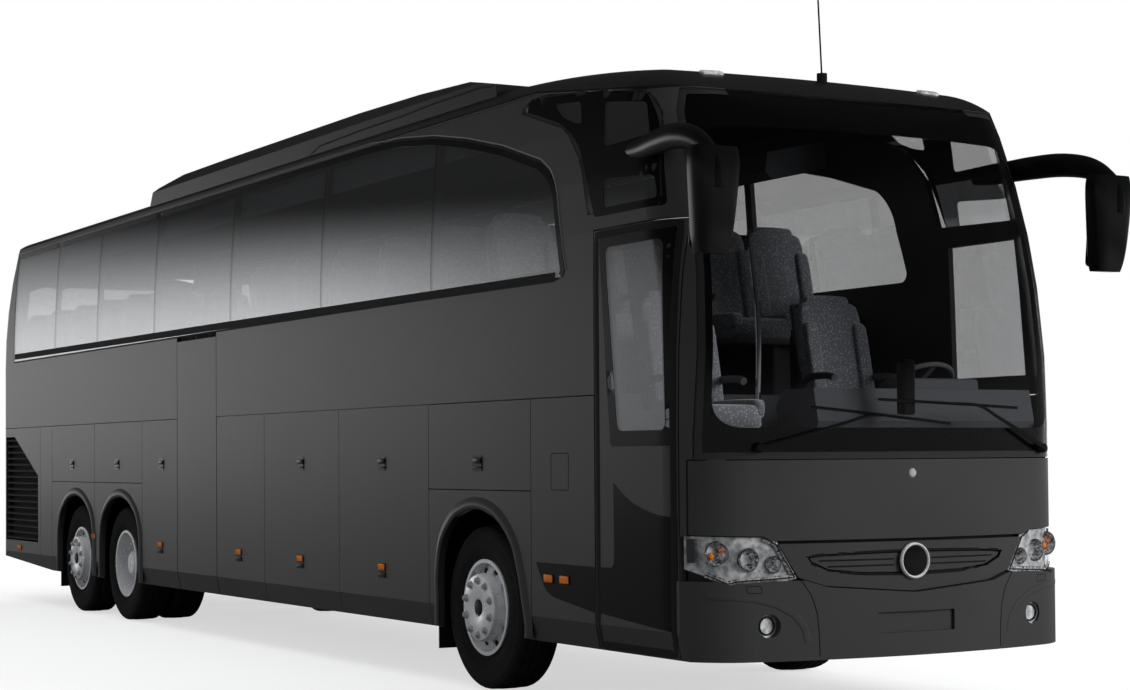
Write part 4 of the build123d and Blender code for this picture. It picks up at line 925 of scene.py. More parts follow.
class COACH_OT_latches(bpy.types.Operator):
    """Flush latches and amber side markers along both sides"""

    bl_idname = "coach.latches"
    bl_label = "Latches and side markers"

    def execute(self, context):
        look = context.scene.coach_trim
        width, height = look.latch_size
        plate, paddle = latch_part(width, height)
        for index, (side, station, bay) in enumerate(LATCHES):
            body, tree = carrier(side, bay)
            spot = (tree, side, station, LATCH_LEVEL)
            put(f"latch_plate_{side}_{index}",
                seated(plate, *spot), "print", body)
            put(f"latch_paddle_{side}_{index}", seated(paddle, *spot), "gloss_black", body)
        wide, tall = look.marker_size
        lens = [block((wide * 0.86, 0.014, tall * 0.80), 0.005, y=0.005)]
        lens += [block((0.004, 0.003, tall * 0.66), 0.001, step * wide * 0.115, 0.0125, rings=1)
                 for step in range(-3, 4)]
        lens = merged(lens)
        base = block((wide, 0.010, tall), 0.004, y=0.001)
        pull = merged([block((wide, 0.012, 0.036), 0.005, y=0.003),
                       block((wide * 0.7, 0.008, 0.014), 0.004, y=0.009, z=-0.002)])
        for index, (side, station, level, bay, with_pull) in enumerate(MARKERS):
            body, tree = carrier(side, bay)
            spot = (tree, side, station, level)
            put(f"marker_base_{side}_{index}", seated(base, *spot), "abs", body)
            put(f"marker_lens_{side}_{index}", seated(lens, *spot), "amber", body)
            if with_pull:
                put(f"marker_pull_{side}_{index}",
                    seated(pull, tree, side, station, level - PULL_DROP), "abs", body)
        for side, station in TURN_LAMPS:
            spot = (carrier(side, None)[1], side, station, TURN_LEVEL)
            name = f"turn_lamp_{side}_{int(station * 1000)}"
            put(name + "_base", seated(base, *spot), "gloss_black")
            put(name + "_lens", seated(lens, *spot), "amber",
                stands_for=("marker_lamps",) if side == "left" else ())
        return {"FINISHED"}


# The axles behind the front one, and the depth behind the side of the louvre's black backing,
# which is painted shade
REAR_AXLES = (-7.09, -8.44)
LOUVRE_PLANE = 1.222
# The black flash behind and across the front door, as station and height
FLASH_PANEL = [(0.765, 0.819), (1.452, 0.817), (1.452, 0.560), (1.227, 0.590), (0.985, 0.622),
               (0.900, 0.650), (0.855, 0.690)]
FLASH_DOOR = [(1.475, 0.818), (1.640, 0.820), (1.668, 0.845), (1.672, 0.90), (1.668, 1.292),
              (1.760, 1.232), (1.860, 1.186), (1.980, 1.150), (2.120, 1.122), (2.300, 1.108),
              (2.300, 0.500), (1.900, 0.530), (1.475, 0.565)]
# Service flaps: side, station, height of the middle, width and height
SERVICE_FLAPS = [("right", 1.059, 1.350, 0.208, 0.213), ("left", 1.059, 1.350, 0.208, 0.213),
                 ("left", 1.880, 0.900, 0.420, 0.300)]
# The gutter moulding over the side windows
GUTTER_PATH = [(-10.95, 3.600), (-1.70, 3.600), (0.69, 3.600), (1.93, 3.446)]
# Arch edges about their own wheels, and the lip's section as reach past the edge and height
FRONT_ARCH = [(-0.545, 0.365), (-0.545, 0.53), (-0.545, 0.70), (-0.487, 0.906), (-0.331, 1.052),
              (-0.170, 1.112), (-0.010, 1.130), (0.160, 1.110), (0.310, 1.051), (0.470, 0.920),
              (0.562, 0.734), (0.605, 0.590), (0.645, 0.442), (0.645, 0.365)]
REAR_ARCH = [(-0.570, 0.365), (-0.570, 0.53), (-0.570, 0.686), (-0.535, 0.845), (-0.4446, 0.970),
             (-0.240, 1.082), (0.0, 1.120), (0.240, 1.082), (0.4446, 0.970), (0.535, 0.845),
             (0.570, 0.686), (0.570, 0.53), (0.570, 0.365)]
LIP = [(-0.012, -0.035), (-0.012, 0.010), (-0.002, 0.0155), (0.014, 0.0165), (0.034, 0.012),
       (0.056, 0.003), (0.066, -0.002)]
LOUVRE = [(-10.92, 0.63), (-9.74, 0.63), (-9.74, 1.285), (-10.595, 1.68), (-10.92, 1.68)]


def arch_lip(edge, sign):
    """A flared lip round a wheel arch in the flat side of the coach."""
    path = smooth_path([(at(u), 0, v) for u, v in edge], 8)
    verts = []
    for index, place in enumerate(path):
        along = path[min(index + 1, len(path) - 1)] - path[max(index - 1, 0)]
        out = Vector((-along.z, 0, along.x)).normalized()
        for reach, height in LIP:
            verts.append(place + out * reach + Vector((0, sign * (HALF_WIDTH + height), 0)))
    return verts, grid_faces(len(path), len(LIP))


class COACH_OT_side_trim(bpy.types.Operator):
    """Black flash, service flaps, seals, arch lips, louvre backing of painted shade and gutter
    moulding
    """

    bl_idname = "coach.side_trim"
    bl_label = "Side trim"

    def execute(self, context):
        look = context.scene.coach_trim
        panels = {side: skin_of(f"side_panels_{side}") for side in SIDES}
        door = skin_of("front_door")
        put("flash_panel",
            skin_patch(panels["right"], "right", FLASH_PANEL, 0.0012, 0.002), "print")
        put("flash_door",
            skin_patch(door, "right", FLASH_DOOR, 0.0012, 0.002), "print", "front_door")
        for index, (side, station, level, width, height) in enumerate(SERVICE_FLAPS):
            outline = round_corners(rectangle(station, level, width, height), 0.02)
            put(f"service_flap_seam_{index}",
                skin_strip(panels[side], side, outline, 0.005, 0.0006, 0.002, True, 0.03),
                "rubber")
        for side, sign in SIDES.items():
            walls = skin_of(f"side_wall_{side}", "roof_shell", "screen_frame", "windows",
                            "rear_panel", *(["front_door"] if sign < 0 else []))
            for name, path in SEAL_PATHS[side].items():
                put(f"seal_{name}_{side}", skin_strip(walls, side, path, look.seal_width, 0.001,
                                                      0.006, True, 0.04, 0.001), "rubber")
            lips = [arch_lip(FRONT_ARCH, sign)]
            lips += [arch_lip([(u + station, v) for u, v in REAR_ARCH], sign)
                     for station in REAR_AXLES]
            put(f"arch_lips_{side}", merged(lips), "paint", smooth=50)
            # A near-black sheet behind the louvre: painted shade for the dark inside of the
            # intake, which also hides what lies behind it
            screen = prism([(at(u), v) for u, v in LOUVRE], 0.003)
            put(f"louvre_painted_shade_{side}", shifted(screen, 0, sign * LOUVRE_PLANE, 0), "liner")
            put(f"gutter_{side}", skin_strip(walls, side, GUTTER_PATH, 0.020, 0.0005, 0.006, False,
                                             0.06, 0.004), "gloss_black")
        return {"FINISHED"}


def band_path(grow):
    """The side glass band's outline, grown outwards by this much."""
    top = 3.59 + grow
    path = [(-10.62 - grow, 2.47 - grow), (-10.62 - grow, top), (-1.70, top)]
    arch = [(-1.2, 3.566), (-0.7, 3.516), (-0.2, 3.432), (0.3, 3.322), (0.8, 3.175),
            (0.92, 3.105), (0.985, 3.03), (1.02, 2.95), (1.04, 2.855)]
    path += [(u + grow * 0.6, v + grow * 0.8) for u, v in arch]
    path += [(1.115 + grow, 2.56), (1.128 + grow, 2.51), (1.11 + grow, 2.48), (1.06, 2.47 - grow)]
    return path


QUARTER_PATH = [(0.52, 3.50), (0.69, 3.57), (1.40, 3.52), (1.95, 3.425), (2.06, 3.30),
                (2.15, 2.78), (1.39, 2.80), (1.29, 3.11), (1.09, 3.33)]
DRIVER_PATH = [(1.50, 1.86), (2.24, 1.86), (2.16, 2.74), (1.47, 2.74)]
SEAL_PATHS = {
    "right": {"band": band_path(0.004), "quarter": round_corners(QUARTER_PATH, 0.05)},
    "left": {"band": band_path(0.004), "quarter": round_corners(QUARTER_PATH, 0.05),
             "driver": round_corners(DRIVER_PATH, 0.04)},
}


# The black quarter panel above the doors and its three clear panes
QUARTER = round_corners(
    [(0.519, 3.518), (0.650, 3.570), (0.885, 3.568), (1.412, 3.510), (1.853, 3.450),
     (1.935, 3.420), (1.985, 3.360), (2.039, 3.274), (2.118, 3.057), (2.185, 2.780),
     (1.469, 2.780), (1.386, 2.965), (1.274, 3.196), (1.153, 3.303), (1.011, 3.377),
     (0.750, 3.455)], 0.03, 3)
QUARTER_PANES = [round_corners(pane, 0.03, 3) for pane in (
    [(0.938, 3.495), (1.249, 3.470), (1.282, 3.335), (1.161, 3.363), (1.035, 3.410)],
    [(1.528, 3.425), (1.950, 3.369), (2.010, 3.180), (1.549, 3.169)],
    [(1.555, 2.987), (2.080, 2.953), (2.115, 2.825), (1.575, 2.825)])]


# A print lies on the inner face of a pane, this far in from its skin
INWARD = -0.0095
# Window pillars: their stations, the two prints' width over both, the gap between and the foot
PILLARS = [-9.144, -7.774, -6.146, -4.293, -2.462, -0.640]
PILLAR_WIDTH, PILLAR_GAP, PILLAR_FOOT = 0.070, 0.010, 2.49


class COACH_OT_glass_prints(bpy.types.Operator):
    """Black prints and seals round the windscreen, door glass, side glass and pillars"""

    bl_idname = "coach.glass_prints"
    bl_label = "Glass prints"

    def execute(self, context):
        screen = skin_of("windscreen")
        outline = round_corners([(1.205, 1.425), (1.205, 1.545), (1.117, 3.29), (1.075, 3.422),
                                 (-1.075, 3.422), (-1.117, 3.29), (-1.205, 1.545),
                                 (-1.205, 1.425)], 0.04)
        clear = round_corners([(1.155, 1.58), (1.070, 3.22), (-1.070, 3.22), (-1.155, 1.58)],
                              0.16, 8)
        put("screen_print",
            skin_patch(screen, "front", outline, INWARD, 0.001, [clear], 0.09), "print")
        door = skin_of("front_door_glass")
        edge = round_corners([(1.70, 1.532), (2.245, 1.532), (2.205, 2.628), (1.557, 2.628)],
                             0.02)
        hole = round_corners([(1.765, 1.60), (2.185, 1.60), (2.155, 2.57), (1.640, 2.57)], 0.05)
        put("door_glass_print",
            skin_patch(door, "right", edge, INWARD, 0.001, [hole]), "print", "front_door")
        leaf = skin_of("front_door", "front_door_glass")
        put("door_seal",
            skin_strip(leaf, "right", [(1.497, 0.385), (2.275, 0.385), (2.275, 2.675),
                                       (1.497, 2.675)], 0.045, 0.001, 0.003, True, 0.05, 0.002),
            "rubber", "front_door")
        around = round_corners([(1.640, 1.490), (2.262, 1.490), (2.262, 2.662), (1.525, 2.662)],
                               0.03)
        glass = round_corners([(1.715, 1.575), (2.215, 1.575), (2.180, 2.600), (1.590, 2.600)],
                              0.05)
        put("door_frame_print",
            skin_patch(leaf, "right", around, 0.0015, 0.002, [glass]), "print", "front_door")
        for side in SIDES:
            walls = skin_of(f"side_wall_{side}", "roof_shell", "screen_frame", "windows")
            panes = skin_of("windows")
            put(f"band_foot_{side}",
                skin_strip(walls, side, [(-10.60, 2.522), (-5.0, 2.505), (1.02, 2.478)], 0.056,
                           0.001, 0.002, False, 0.1), "rubber")
            edge = band_path(-0.024)[1:-1]
            put(f"band_edge_{side}",
                skin_strip(walls, side, edge, 0.048, 0.001, 0.002, False, 0.05), "print")
            # A raised moulding above the glass band; its light grey is a painted highlight along
            # its top
            bead = band_path(0.018)[1:-2]
            put(f"band_bead_painted_highlight_{side}",
                skin_strip(walls, side, bead, 0.010, 0.001, 0.004, False, 0.05, 0.004), "trim")
            put(f"quarter_print_{side}",
                skin_patch(walls, side, QUARTER, 0.0014, 0.002, QUARTER_PANES), "print")
            for index, station in enumerate(PILLARS):
                top = 3.57 if station < -1 else 3.47
                for half, sign in enumerate((-1, 1)):
                    strip = rectangle(station + sign * (PILLAR_WIDTH + PILLAR_GAP) / 4,
                                      (PILLAR_FOOT + top) / 2, (PILLAR_WIDTH - PILLAR_GAP) / 2,
                                      top - PILLAR_FOOT)
                    put(f"pillar_print_{side}_{index}_{half}",
                        skin_patch(panes, side, strip, INWARD, 0.001, (), 0.2), "print")
                line = [(station, PILLAR_FOOT), (station, top)]
                put(f"pillar_seal_{side}_{index}",
                    skin_strip(skin_of(f"side_wall_{side}"), side, line, 0.0065, 0.0055, 0.004),
                    "rubber")
        return {"FINISHED"}


# ---- Front

# Reflector bowls as sideways place, height and radius
LAMP_BOWLS = [(1.130, 0.920, 0.060), (0.975, 0.888, 0.056), (0.840, 0.860, 0.042)]
# Lines on the left half of the front, as sideways place and height
LAMP_EDGE = [(0.900, 1.000), (0.838, 0.968), (0.732, 0.792), (1.040, 0.776), (1.088, 0.765),
             (1.180, 0.812)]
LAMP_FLANK = [(1.226, 1.000), (1.226, 0.930), (1.224, 0.872)]
BUMPER_SEAM = [(0.715, 0.775), (0.66, 0.70), (0.625, 0.60), (0.615, 0.48), (0.612, 0.372)]
BUMPER_CREASE = [(1.19, 0.70), (1.10, 0.695), (0.98, 0.685), (0.86, 0.655), (0.76, 0.60),
                 (0.70, 0.53), (0.68, 0.45)]
WASHER_COVER = round_corners([(0.93, 0.715), (1.01, 0.715), (1.02, 0.752), (0.94, 0.752)], 0.012)
GRILLE_EDGE = [(0.0, 0.921), (0.300, 0.916), (0.560, 0.909), (0.664, 0.901), (0.640, 0.862),
               (0.540, 0.818), (0.340, 0.797), (0.0, 0.788)]
GRILLE_SLOTS = (0.842, 0.874)
TURN_BULB = (1.165, 0.905)
FOG_LAMP = (0.894, 0.541)
BADGE_LEVEL, LOCK_LEVEL = 0.862, 1.335
FACING_AHEAD = Matrix.Rotation(-math.pi / 2, 4, "Z")


def mirrored(path, sign):
    """A line of the left half, or its mirror image for sign -1."""
    return [(sign * y, z) for y, z in path]


def lamp_parts(radius):
    """Bowl, rim and bulb of a headlamp about the Y axis, its mouth at y 0."""
    depth = radius * 1.15
    bowl = lathe([(radius * (0.16 + 0.84 * t ** 0.55), -depth * (1 - t))
                  for t in [i / 10 for i in range(11)]], 40)
    rim = lathe([(radius, -0.004), (radius * 1.08, 0.001), (radius * 1.14, -0.002),
                 (radius * 1.12, -0.008)], 40)
    bulb = lathe([(0.0, -depth * 0.98), (radius * 0.2, -depth * 0.95),
                  (radius * 0.2, -depth * 0.45), (radius * 0.12, -depth * 0.36),
                  (0.0, -depth * 0.34)], 16)
    return bowl, rim, bulb


class COACH_OT_front(bpy.types.Operator):
    """Lamp internals, grille with painted shade in its slots, badge disc, bonnet lock, washer
    covers and bumper seams
    """

    bl_idname = "coach.front"
    bl_label = "Front"

    def execute(self, context):
        lens = skin_of("headlamp_lenses")
        bumper = skin_of("front_bumper")
        fog = (lathe([(0.040, 0.001), (0.044, 0.009), (0.050, 0.006), (0.053, -0.004)], 40),
               lathe([(0.040, -0.002), (0.030, -0.016), (0.012, -0.026), (0.0, -0.028)], 32),
               lathe([(0.0, 0.007), (0.025, 0.006), (0.036, 0.003), (0.042, -0.002)], 32))
        turn_bulb = lathe([(0.0, -0.02), (0.014, -0.014), (0.02, 0.0), (0.014, 0.014),
                           (0.0, 0.02)], 24)
        # Beads: name, skin, line, width, lift, depth, whether closed, step, crown and finish
        beads = [
            ("lamp_edge", lens, LAMP_EDGE, 0.030, -0.010, 0.004, False, 0.03, 0.003, "reflector"),
            ("lamp_seal", lens, LAMP_EDGE, 0.006, 0.0004, 0.004, False, 0.03, 0.001, "rubber"),
            ("lamp_flank", lens, LAMP_FLANK, 0.046, 0.001, 0.002, False, 0.03, 0.002, "paint"),
            ("bumper_seam", bumper, BUMPER_SEAM, 0.006, 0.0006, 0.002, False, 0.03, 0, "rubber"),
            ("bumper_crease", bumper, BUMPER_CREASE, 0.045, -0.0005, 0.0005, False, 0.03, 0.003,
             "paint"),
            ("washer_cover", bumper, WASHER_COVER, 0.004, 0.0005, 0.002, True, 0.02, 0, "rubber"),
        ]
        for side, sign in SIDES.items():
            sets = []
            for y, z, radius in LAMP_BOWLS:
                place = on_skin(lens, "front", sign * y, z)[0] - Vector((0.014, 0, 0))
                turn = Matrix.Translation(place) @ FACING_AHEAD
                sets.append([moved(part, turn) for part in lamp_parts(radius)])
            bowls, rims, bulbs = (merged(parts) for parts in zip(*sets))
            put(f"lamp_bowls_{side}", bowls, "reflector", smooth=60)
            put(f"lamp_rims_{side}", rims, "chrome", smooth=60)
            put(f"lamp_bulbs_{side}", bulbs, "lens", smooth=60)
            for name, skin, path, width, lift, depth, closed, step, crown, finish in beads:
                bead = skin_strip(skin, "front", mirrored(path, sign), width, lift, depth, closed,
                                  step, crown)
                put(f"{name}_{side}", bead, finish, smooth=80 if name == "bumper_crease" else 40)
            place, _ = on_skin(lens, "front", sign * TURN_BULB[0], TURN_BULB[1], -0.035)
            put(f"lamp_turn_bulb_{side}", shifted(turn_bulb, *place), "amber", smooth=60)
            place, _ = on_skin(skin_of("headlamps"), "front", sign * FOG_LAMP[0], FOG_LAMP[1])
            turn = Matrix.Translation(place) @ FACING_AHEAD
            for stem, part, finish in zip(("ring", "dish", "glass"), fog,
                                          ("abs", "reflector", "lens")):
                put(f"fog_{stem}_{side}", moved(part, turn), finish, smooth=60)
        loop = GRILLE_EDGE + mirrored(reversed(GRILLE_EDGE[1:-1]), -1)
        nose = skin_of("grille", "front_panel", "front_bumper")
        put("grille_edge",
            skin_strip(nose, "front", loop, 0.012, 0.0006, 0.002, True, 0.04), "rubber")
        # Dark strips along the grille's slots: painted shade in the gaps between its bars
        for index, level in enumerate(GRILLE_SLOTS):
            half = [(0.125, level), (0.575 + 0.4 * (level - GRILLE_SLOTS[0]), level)]
            for side, sign in SIDES.items():
                slot = skin_strip(nose, "front", mirrored(half, sign), 0.009, 0.0006, 0.002,
                                  False, 0.04)
                put(f"grille_slot_shade_{index}_{side}", slot, "rubber")
        place, _ = on_skin(skin_of("grille"), "front", 0, BADGE_LEVEL)
        turn = Matrix.Translation(place) @ FACING_AHEAD
        ring = lathe([(0.082, 0.002), (0.084, 0.012), (0.090, 0.016), (0.096, 0.012),
                      (0.098, 0.0)], 64)
        disc = lathe([(0.0, 0.012), (0.05, 0.010), (0.083, 0.004), (0.083, -0.006),
                      (0.0, -0.006)], 64)
        put("badge_ring", moved(ring, turn), "rim", smooth=60)
        put("badge_disc", moved(disc, turn), "gloss_black", smooth=60)
        lock = merged([lathe([(0.0, 0.007), (0.016, 0.007), (0.023, 0.003), (0.025, 0.0)], 32),
                       block((0.004, 0.004, 0.014), 0.001, y=0.006)])
        put("bonnet_lock", seated(lock, skin_of("front_panel"), "front", 0.0, LOCK_LEVEL), "zinc",
            smooth=60)
        return {"FINISHED"}


# Wipers as pivot, elbow and blade ends, each sideways and up
WIPERS = [((-0.930, 1.475), (-0.300, 1.640), (-0.640, 1.690), (0.260, 1.600)),
          ((1.010, 1.465), (0.480, 1.700), (-0.220, 1.730), (0.800, 1.690))]


class COACH_OT_wipers(bpy.types.Operator):
    """Wiper arms, yokes and rubbers in place of the plain rods"""

    bl_idname = "coach.wipers"
    bl_label = "Wipers"

    def execute(self, context):
        glass = skin_of("windscreen", "screen_frame", "front_panel")

        def stood(spot, lift):
            return on_skin(glass, "front", *spot, lift)[0]

        parts = []
        hub = lathe([(0.0, 0.046), (0.020, 0.044), (0.026, 0.036), (0.028, 0.0)], 24)
        for pivot, elbow, near, far in WIPERS:
            middle = ((near[0] + far[0]) / 2, (near[1] + far[1]) / 2)
            parts.append(seated(hub, glass, "front", *pivot))
            share = [tuple(pivot[i] + (elbow[i] - pivot[i]) * t for i in (0, 1))
                     for t in (0, 0.25, 0.5, 0.75, 1.0)]
            arm = [stood(p, 0.040 - 0.006 * i) for i, p in enumerate(share)]
            arm.append(stood(middle, 0.022))
            parts.append(swept(smooth_path(arm, 5), [0.013 - 0.0002 * i for i in range(26)], 10,
                               False, 0.55))
            blade = [tuple(near[i] + (far[i] - near[i]) * t / 12 for i in (0, 1))
                     for t in range(13)]
            parts.append(skin_strip(glass, "front", blade, 0.016, 0.014, 0.004, False, 0.05,
                                    0.003))
            parts.append(skin_strip(glass, "front", blade, 0.006, 0.010, 0.009, False, 0.05))
            yoke = [tuple(near[i] + (far[i] - near[i]) * t for i in (0, 1))
                    for t in (0.28, 0.5, 0.72)]
            spots = [stood(yoke[0], 0.015), stood(yoke[1], 0.026), stood(yoke[2], 0.015)]
            parts.append(swept(smooth_path(spots, 6), 0.006, 8))
        put("wiper_arms", merged(parts), "gloss_black", stands_for=("wipers",))
        return {"FINISHED"}


# Left mirror arm as station, sideways place and height, and the head's depth, width and height
MIRROR_ARM = [(1.775, 1.218, 3.115), (1.95, 1.240, 3.112), (2.20, 1.285, 3.118),
              (2.42, 1.322, 3.112), (2.62, 1.345, 3.075), (2.755, 1.352, 3.010),
              (2.836, 1.352, 2.920), (2.849, 1.350, 2.790)]
MIRROR_SIZE = (0.150, 0.300, 0.545)
MIRROR_TILT = math.radians(4)


class COACH_OT_mirrors(bpy.types.Operator):
    """Moulded mirror arms and two-part heads with their glasses"""

    bl_idname = "coach.mirrors"
    bl_label = "Mirrors"

    def execute(self, context):
        for side, sign in SIDES.items():
            path = smooth_path([(at(u), sign * y, z) for u, y, z in MIRROR_ARM], 7)
            sizes = [0.052 + 0.018 * math.sin(math.pi * min(1.0, i / (len(path) * 0.72)))
                     for i in range(len(path))]
            arm = swept(path, sizes, 20, False, 0.62)
            put(f"mirror_arm_{side}", arm, "gloss_black", smooth=50)
            head = mirror_head(*MIRROR_SIZE)
            spot = Matrix.Translation((at(2.800), sign * 1.335, 2.735))
            spot = spot @ Matrix.Rotation(MIRROR_TILT, 4, "Y")
            put(f"mirror_head_{side}", moved(head, spot), "gloss_black", smooth=50,
                stands_for=("mirrors",) if sign > 0 else ())
            glasses = []
            for low, high in ((-0.245, 0.035), (0.060, 0.225)):
                outline = round_corners([(-0.098, low), (0.098, low), (0.092, high),
                                         (-0.092, high)], 0.03)
                glasses.append(prism(outline, 0.003))
            turn = spot @ Matrix.Translation((-0.0745, 0, 0))
            turn = turn @ Matrix.Rotation(math.pi / 2, 4, "Z")
            put(f"mirror_glass_{side}", moved(merged(glasses), turn), "mirror", smooth=30)
            seam = []
            for index in range(25):
                angle = math.pi * (index / 24 - 0.5)
                seam.append(spot @ Vector((0.064 * math.cos(angle * 0.98),
                                           0.124 * math.sin(angle), 0.115)))
            put(f"mirror_seam_{side}", swept(seam, 0.0022, 6), "rubber")
        return {"FINISHED"}


def mirror_head(deep, wide, tall):
    """A hanging mirror housing: flat behind, bowed in front and drawn in at its ends."""
    rows, ring = 22, 28
    verts = []
    for row in range(rows + 1):
        t = row / rows
        z = (t - 0.5) * tall
        draw = (0.64 + 0.36 * t) * (1.0 - 0.16 * abs(2 * t - 1) ** 6)
        lift = 1.0 - 0.42 * abs(2 * t - 1) ** 2.6
        for step in range(ring):
            angle = math.tau * step / ring
            c, s = math.cos(angle), math.sin(angle)
            y = wide / 2 * draw * math.copysign(abs(s) ** 0.55, s)
            if c >= 0:
                x = deep / 2 * lift * c ** 0.9
            else:
                x = -deep / 2 * abs(c) ** 0.22
            verts.append((x, y, z))
    faces = grid_faces(rows + 1, ring, False, True)
    faces.append(tuple(range(ring - 1, -1, -1)))
    faces.append(tuple(rows * ring + step for step in range(ring)))
    return verts, faces


# ---- Inside


def crowned_block(width, depth, height, puff, rows=10):
    """A cushion about its own middle: its sides pull in and its faces crown."""
    verts, faces = [], []
    count = rows + 1
    for a, b, c, sign in ((0, 1, 2, 1), (0, 1, 2, -1), (1, 2, 0, 1), (1, 2, 0, -1),
                          (2, 0, 1, 1), (2, 0, 1, -1)):
        base = len(verts)
        for i in range(count):
            for j in range(count):
                p = [0.0, 0.0, 0.0]
                p[a] = (2 * i / rows - 1) * 0.5
                p[b] = (2 * j / rows - 1) * 0.5
                p[c] = sign * 0.5
                verts.append(tuple(p))
        for face in grid_faces(count, count):
            q = tuple(base + face[i] for i in (0, 3, 2, 1))
            faces.append(q if sign > 0 else q[::-1])
    # Edges and corners draw in past this share of the half size, free of the face's own share
    start, free, pull = 0.72, 0.0784, 0.55
    shaped = []
    size = (depth, width, height)
    for v in verts:
        edge = sum(max(0.0, abs(x) * 2 - start) ** 2 for x in v)
        shrink = 1.0 - pull * max(0.0, edge - free)
        crown = [1 + puff * (1 - (2 * v[(i + 1) % 3]) ** 2) * (1 - (2 * v[(i + 2) % 3]) ** 2)
                 for i in range(3)]
        shaped.append(tuple(v[i] * size[i] * shrink * crown[i] for i in range(3)))
    return shaped, faces


def seat_cushions(width, lean, places):
    """Upholstery of seats side by side: cushion, bolstered back and headrest, facing +X."""
    parts = []
    for y in places:
        parts.append(shifted(crowned_block(width * 0.94, 0.47, 0.13, 0.10), 0.355, y, 0.445))
        for side in (-1, 1):
            roll = crowned_block(0.075, 0.44, 0.10, 0.1, 6)
            parts.append(shifted(roll, 0.36, y + side * width * 0.43, 0.49))
        back = Matrix.Translation((0.045, y, 0.80)) @ Matrix.Rotation(-lean, 4, "Y")
        parts.append(moved(crowned_block(width * 0.93, 0.105, 0.62, 0.14), back))
        for side in (-1, 1):
            bolster = back @ Matrix.Translation((0.045, side * width * 0.40, -0.06))
            parts.append(moved(crowned_block(0.085, 0.085, 0.46, 0.1, 6), bolster))
        rest = Matrix.Translation((-0.025, y, 1.055)) @ Matrix.Rotation(-lean * 0.7, 4, "Y")
        parts.append(moved(crowned_block(width * 0.68, 0.095, 0.20, 0.12), rest))
    return merged(parts)


def seat_shell(width, lean, places):
    """Back shells, arm rests and pedestal of the same seats."""
    parts = []
    for y in places:
        back = Matrix.Translation((-0.018, y, 0.80)) @ Matrix.Rotation(-lean, 4, "Y")
        parts.append(moved(rounded_box((0.045, width * 0.96, 0.64), 0.02), back))
        rest = Matrix.Translation((-0.065, y, 1.055)) @ Matrix.Rotation(-lean * 0.7, 4, "Y")
        parts.append(moved(rounded_box((0.04, width * 0.66, 0.19), 0.018), rest))
        parts.append(block((0.46, width * 0.92, 0.05), 0.02, 0.35, y, 0.365))
    for y in (min(places) - width / 2, max(places) + width / 2):
        rest = [(x, y, z) for x, z in ((0.03, 0.60), (0.14, 0.655), (0.30, 0.66), (0.38, 0.645))]
        parts.append(swept(smooth_path(rest, 4), 0.022, 10))
    middle = sum(places) / len(places)
    parts.append(block((0.20, 0.14, 0.34), 0.02, 0.34, middle, 0.172))
    parts.append(block((0.42, 0.22, 0.02), 0.008, 0.34, middle, 0.011))
    return merged(parts)


def seat_boxes(node):
    """The lowest and highest corners of each separate solid of a seat node."""
    mesh = nodes[node].data
    solid = bmesh.new()
    solid.from_mesh(mesh)
    bmesh.ops.remove_doubles(solid, verts=solid.verts, dist=1e-6)
    seen, boxes = set(), []
    for vert in solid.verts:
        if vert in seen:
            continue
        stack, group = [vert], []
        seen.add(vert)
        while stack:
            v = stack.pop()
            group.append(v.co.copy())
            for edge in v.link_edges:
                other = edge.other_vert(v)
                if other not in seen:
                    seen.add(other)
                    stack.append(other)
        boxes.append((Vector([min(p[i] for p in group) for i in range(3)]),
                      Vector([max(p[i] for p in group) for i in range(3)])))
    solid.free()
    return boxes


# How far a seat's origin is ahead of its block's back, the driver's seat's shift from its block,
# and the place of the guide's seat, which has no block
SEAT_INSET = 0.06
DRIVER_SHIFT = Vector((-0.08, 0, 0.15))
GUIDE_SEAT = Vector((at(1.66), -0.88, 1.20))


class COACH_OT_seats(bpy.types.Operator):
    """Upholstered passenger and driver's seats in place of the plain blocks"""

    bl_idname = "coach.seats"
    bl_label = "Seats"

    def execute(self, context):
        look = context.scene.coach_seats
        for node, offsets, stem in (
                ("passenger_seats", (-0.235, 0.235), "passenger"),
                ("crew_seats", (0.0,), "driver")):
            soft = seat_cushions(look.width, look.back_lean, offsets)
            hard = seat_shell(look.width, look.back_lean, offsets)
            for index, (low, high) in enumerate(seat_boxes(node)):
                names = f"{stem}_upholstery_{index}", f"{stem}_shell_{index}"
                if index == 0:
                    cushion = put(names[0], soft, "fabric", smooth=60)
                    shell = put(names[1], hard, "shell")
                    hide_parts(node)
                else:
                    cushion = put_mesh(names[0], cushion.data, "fabric", smooth=60)
                    shell = put_mesh(names[1], shell.data, "shell")
                origin = Vector((low.x + SEAT_INSET, (low.y + high.y) / 2, low.z))
                if stem == "driver":
                    origin += DRIVER_SHIFT
                    put("driver_pedestal", block((0.34, 0.30, 0.17), 0.02, origin.x + 0.33,
                                                 origin.y, low.z + 0.085), "shell")
                cushion.location = shell.location = origin
        guide = put_mesh("guide_upholstery", cushion.data, "fabric", smooth=60)
        back = put_mesh("guide_shell", shell.data, "shell")
        guide.location = back.location = GUIDE_SEAT
        return {"FINISHED"}


# The height of the sensor housing behind the windscreen, and the rail beside the steps
SENSOR_LEVEL = 1.80
GRAB_RAIL = [(1.95, -0.52, 1.20), (1.95, -0.50, 1.70), (1.93, -0.48, 2.20), (1.85, -0.47, 2.60)]


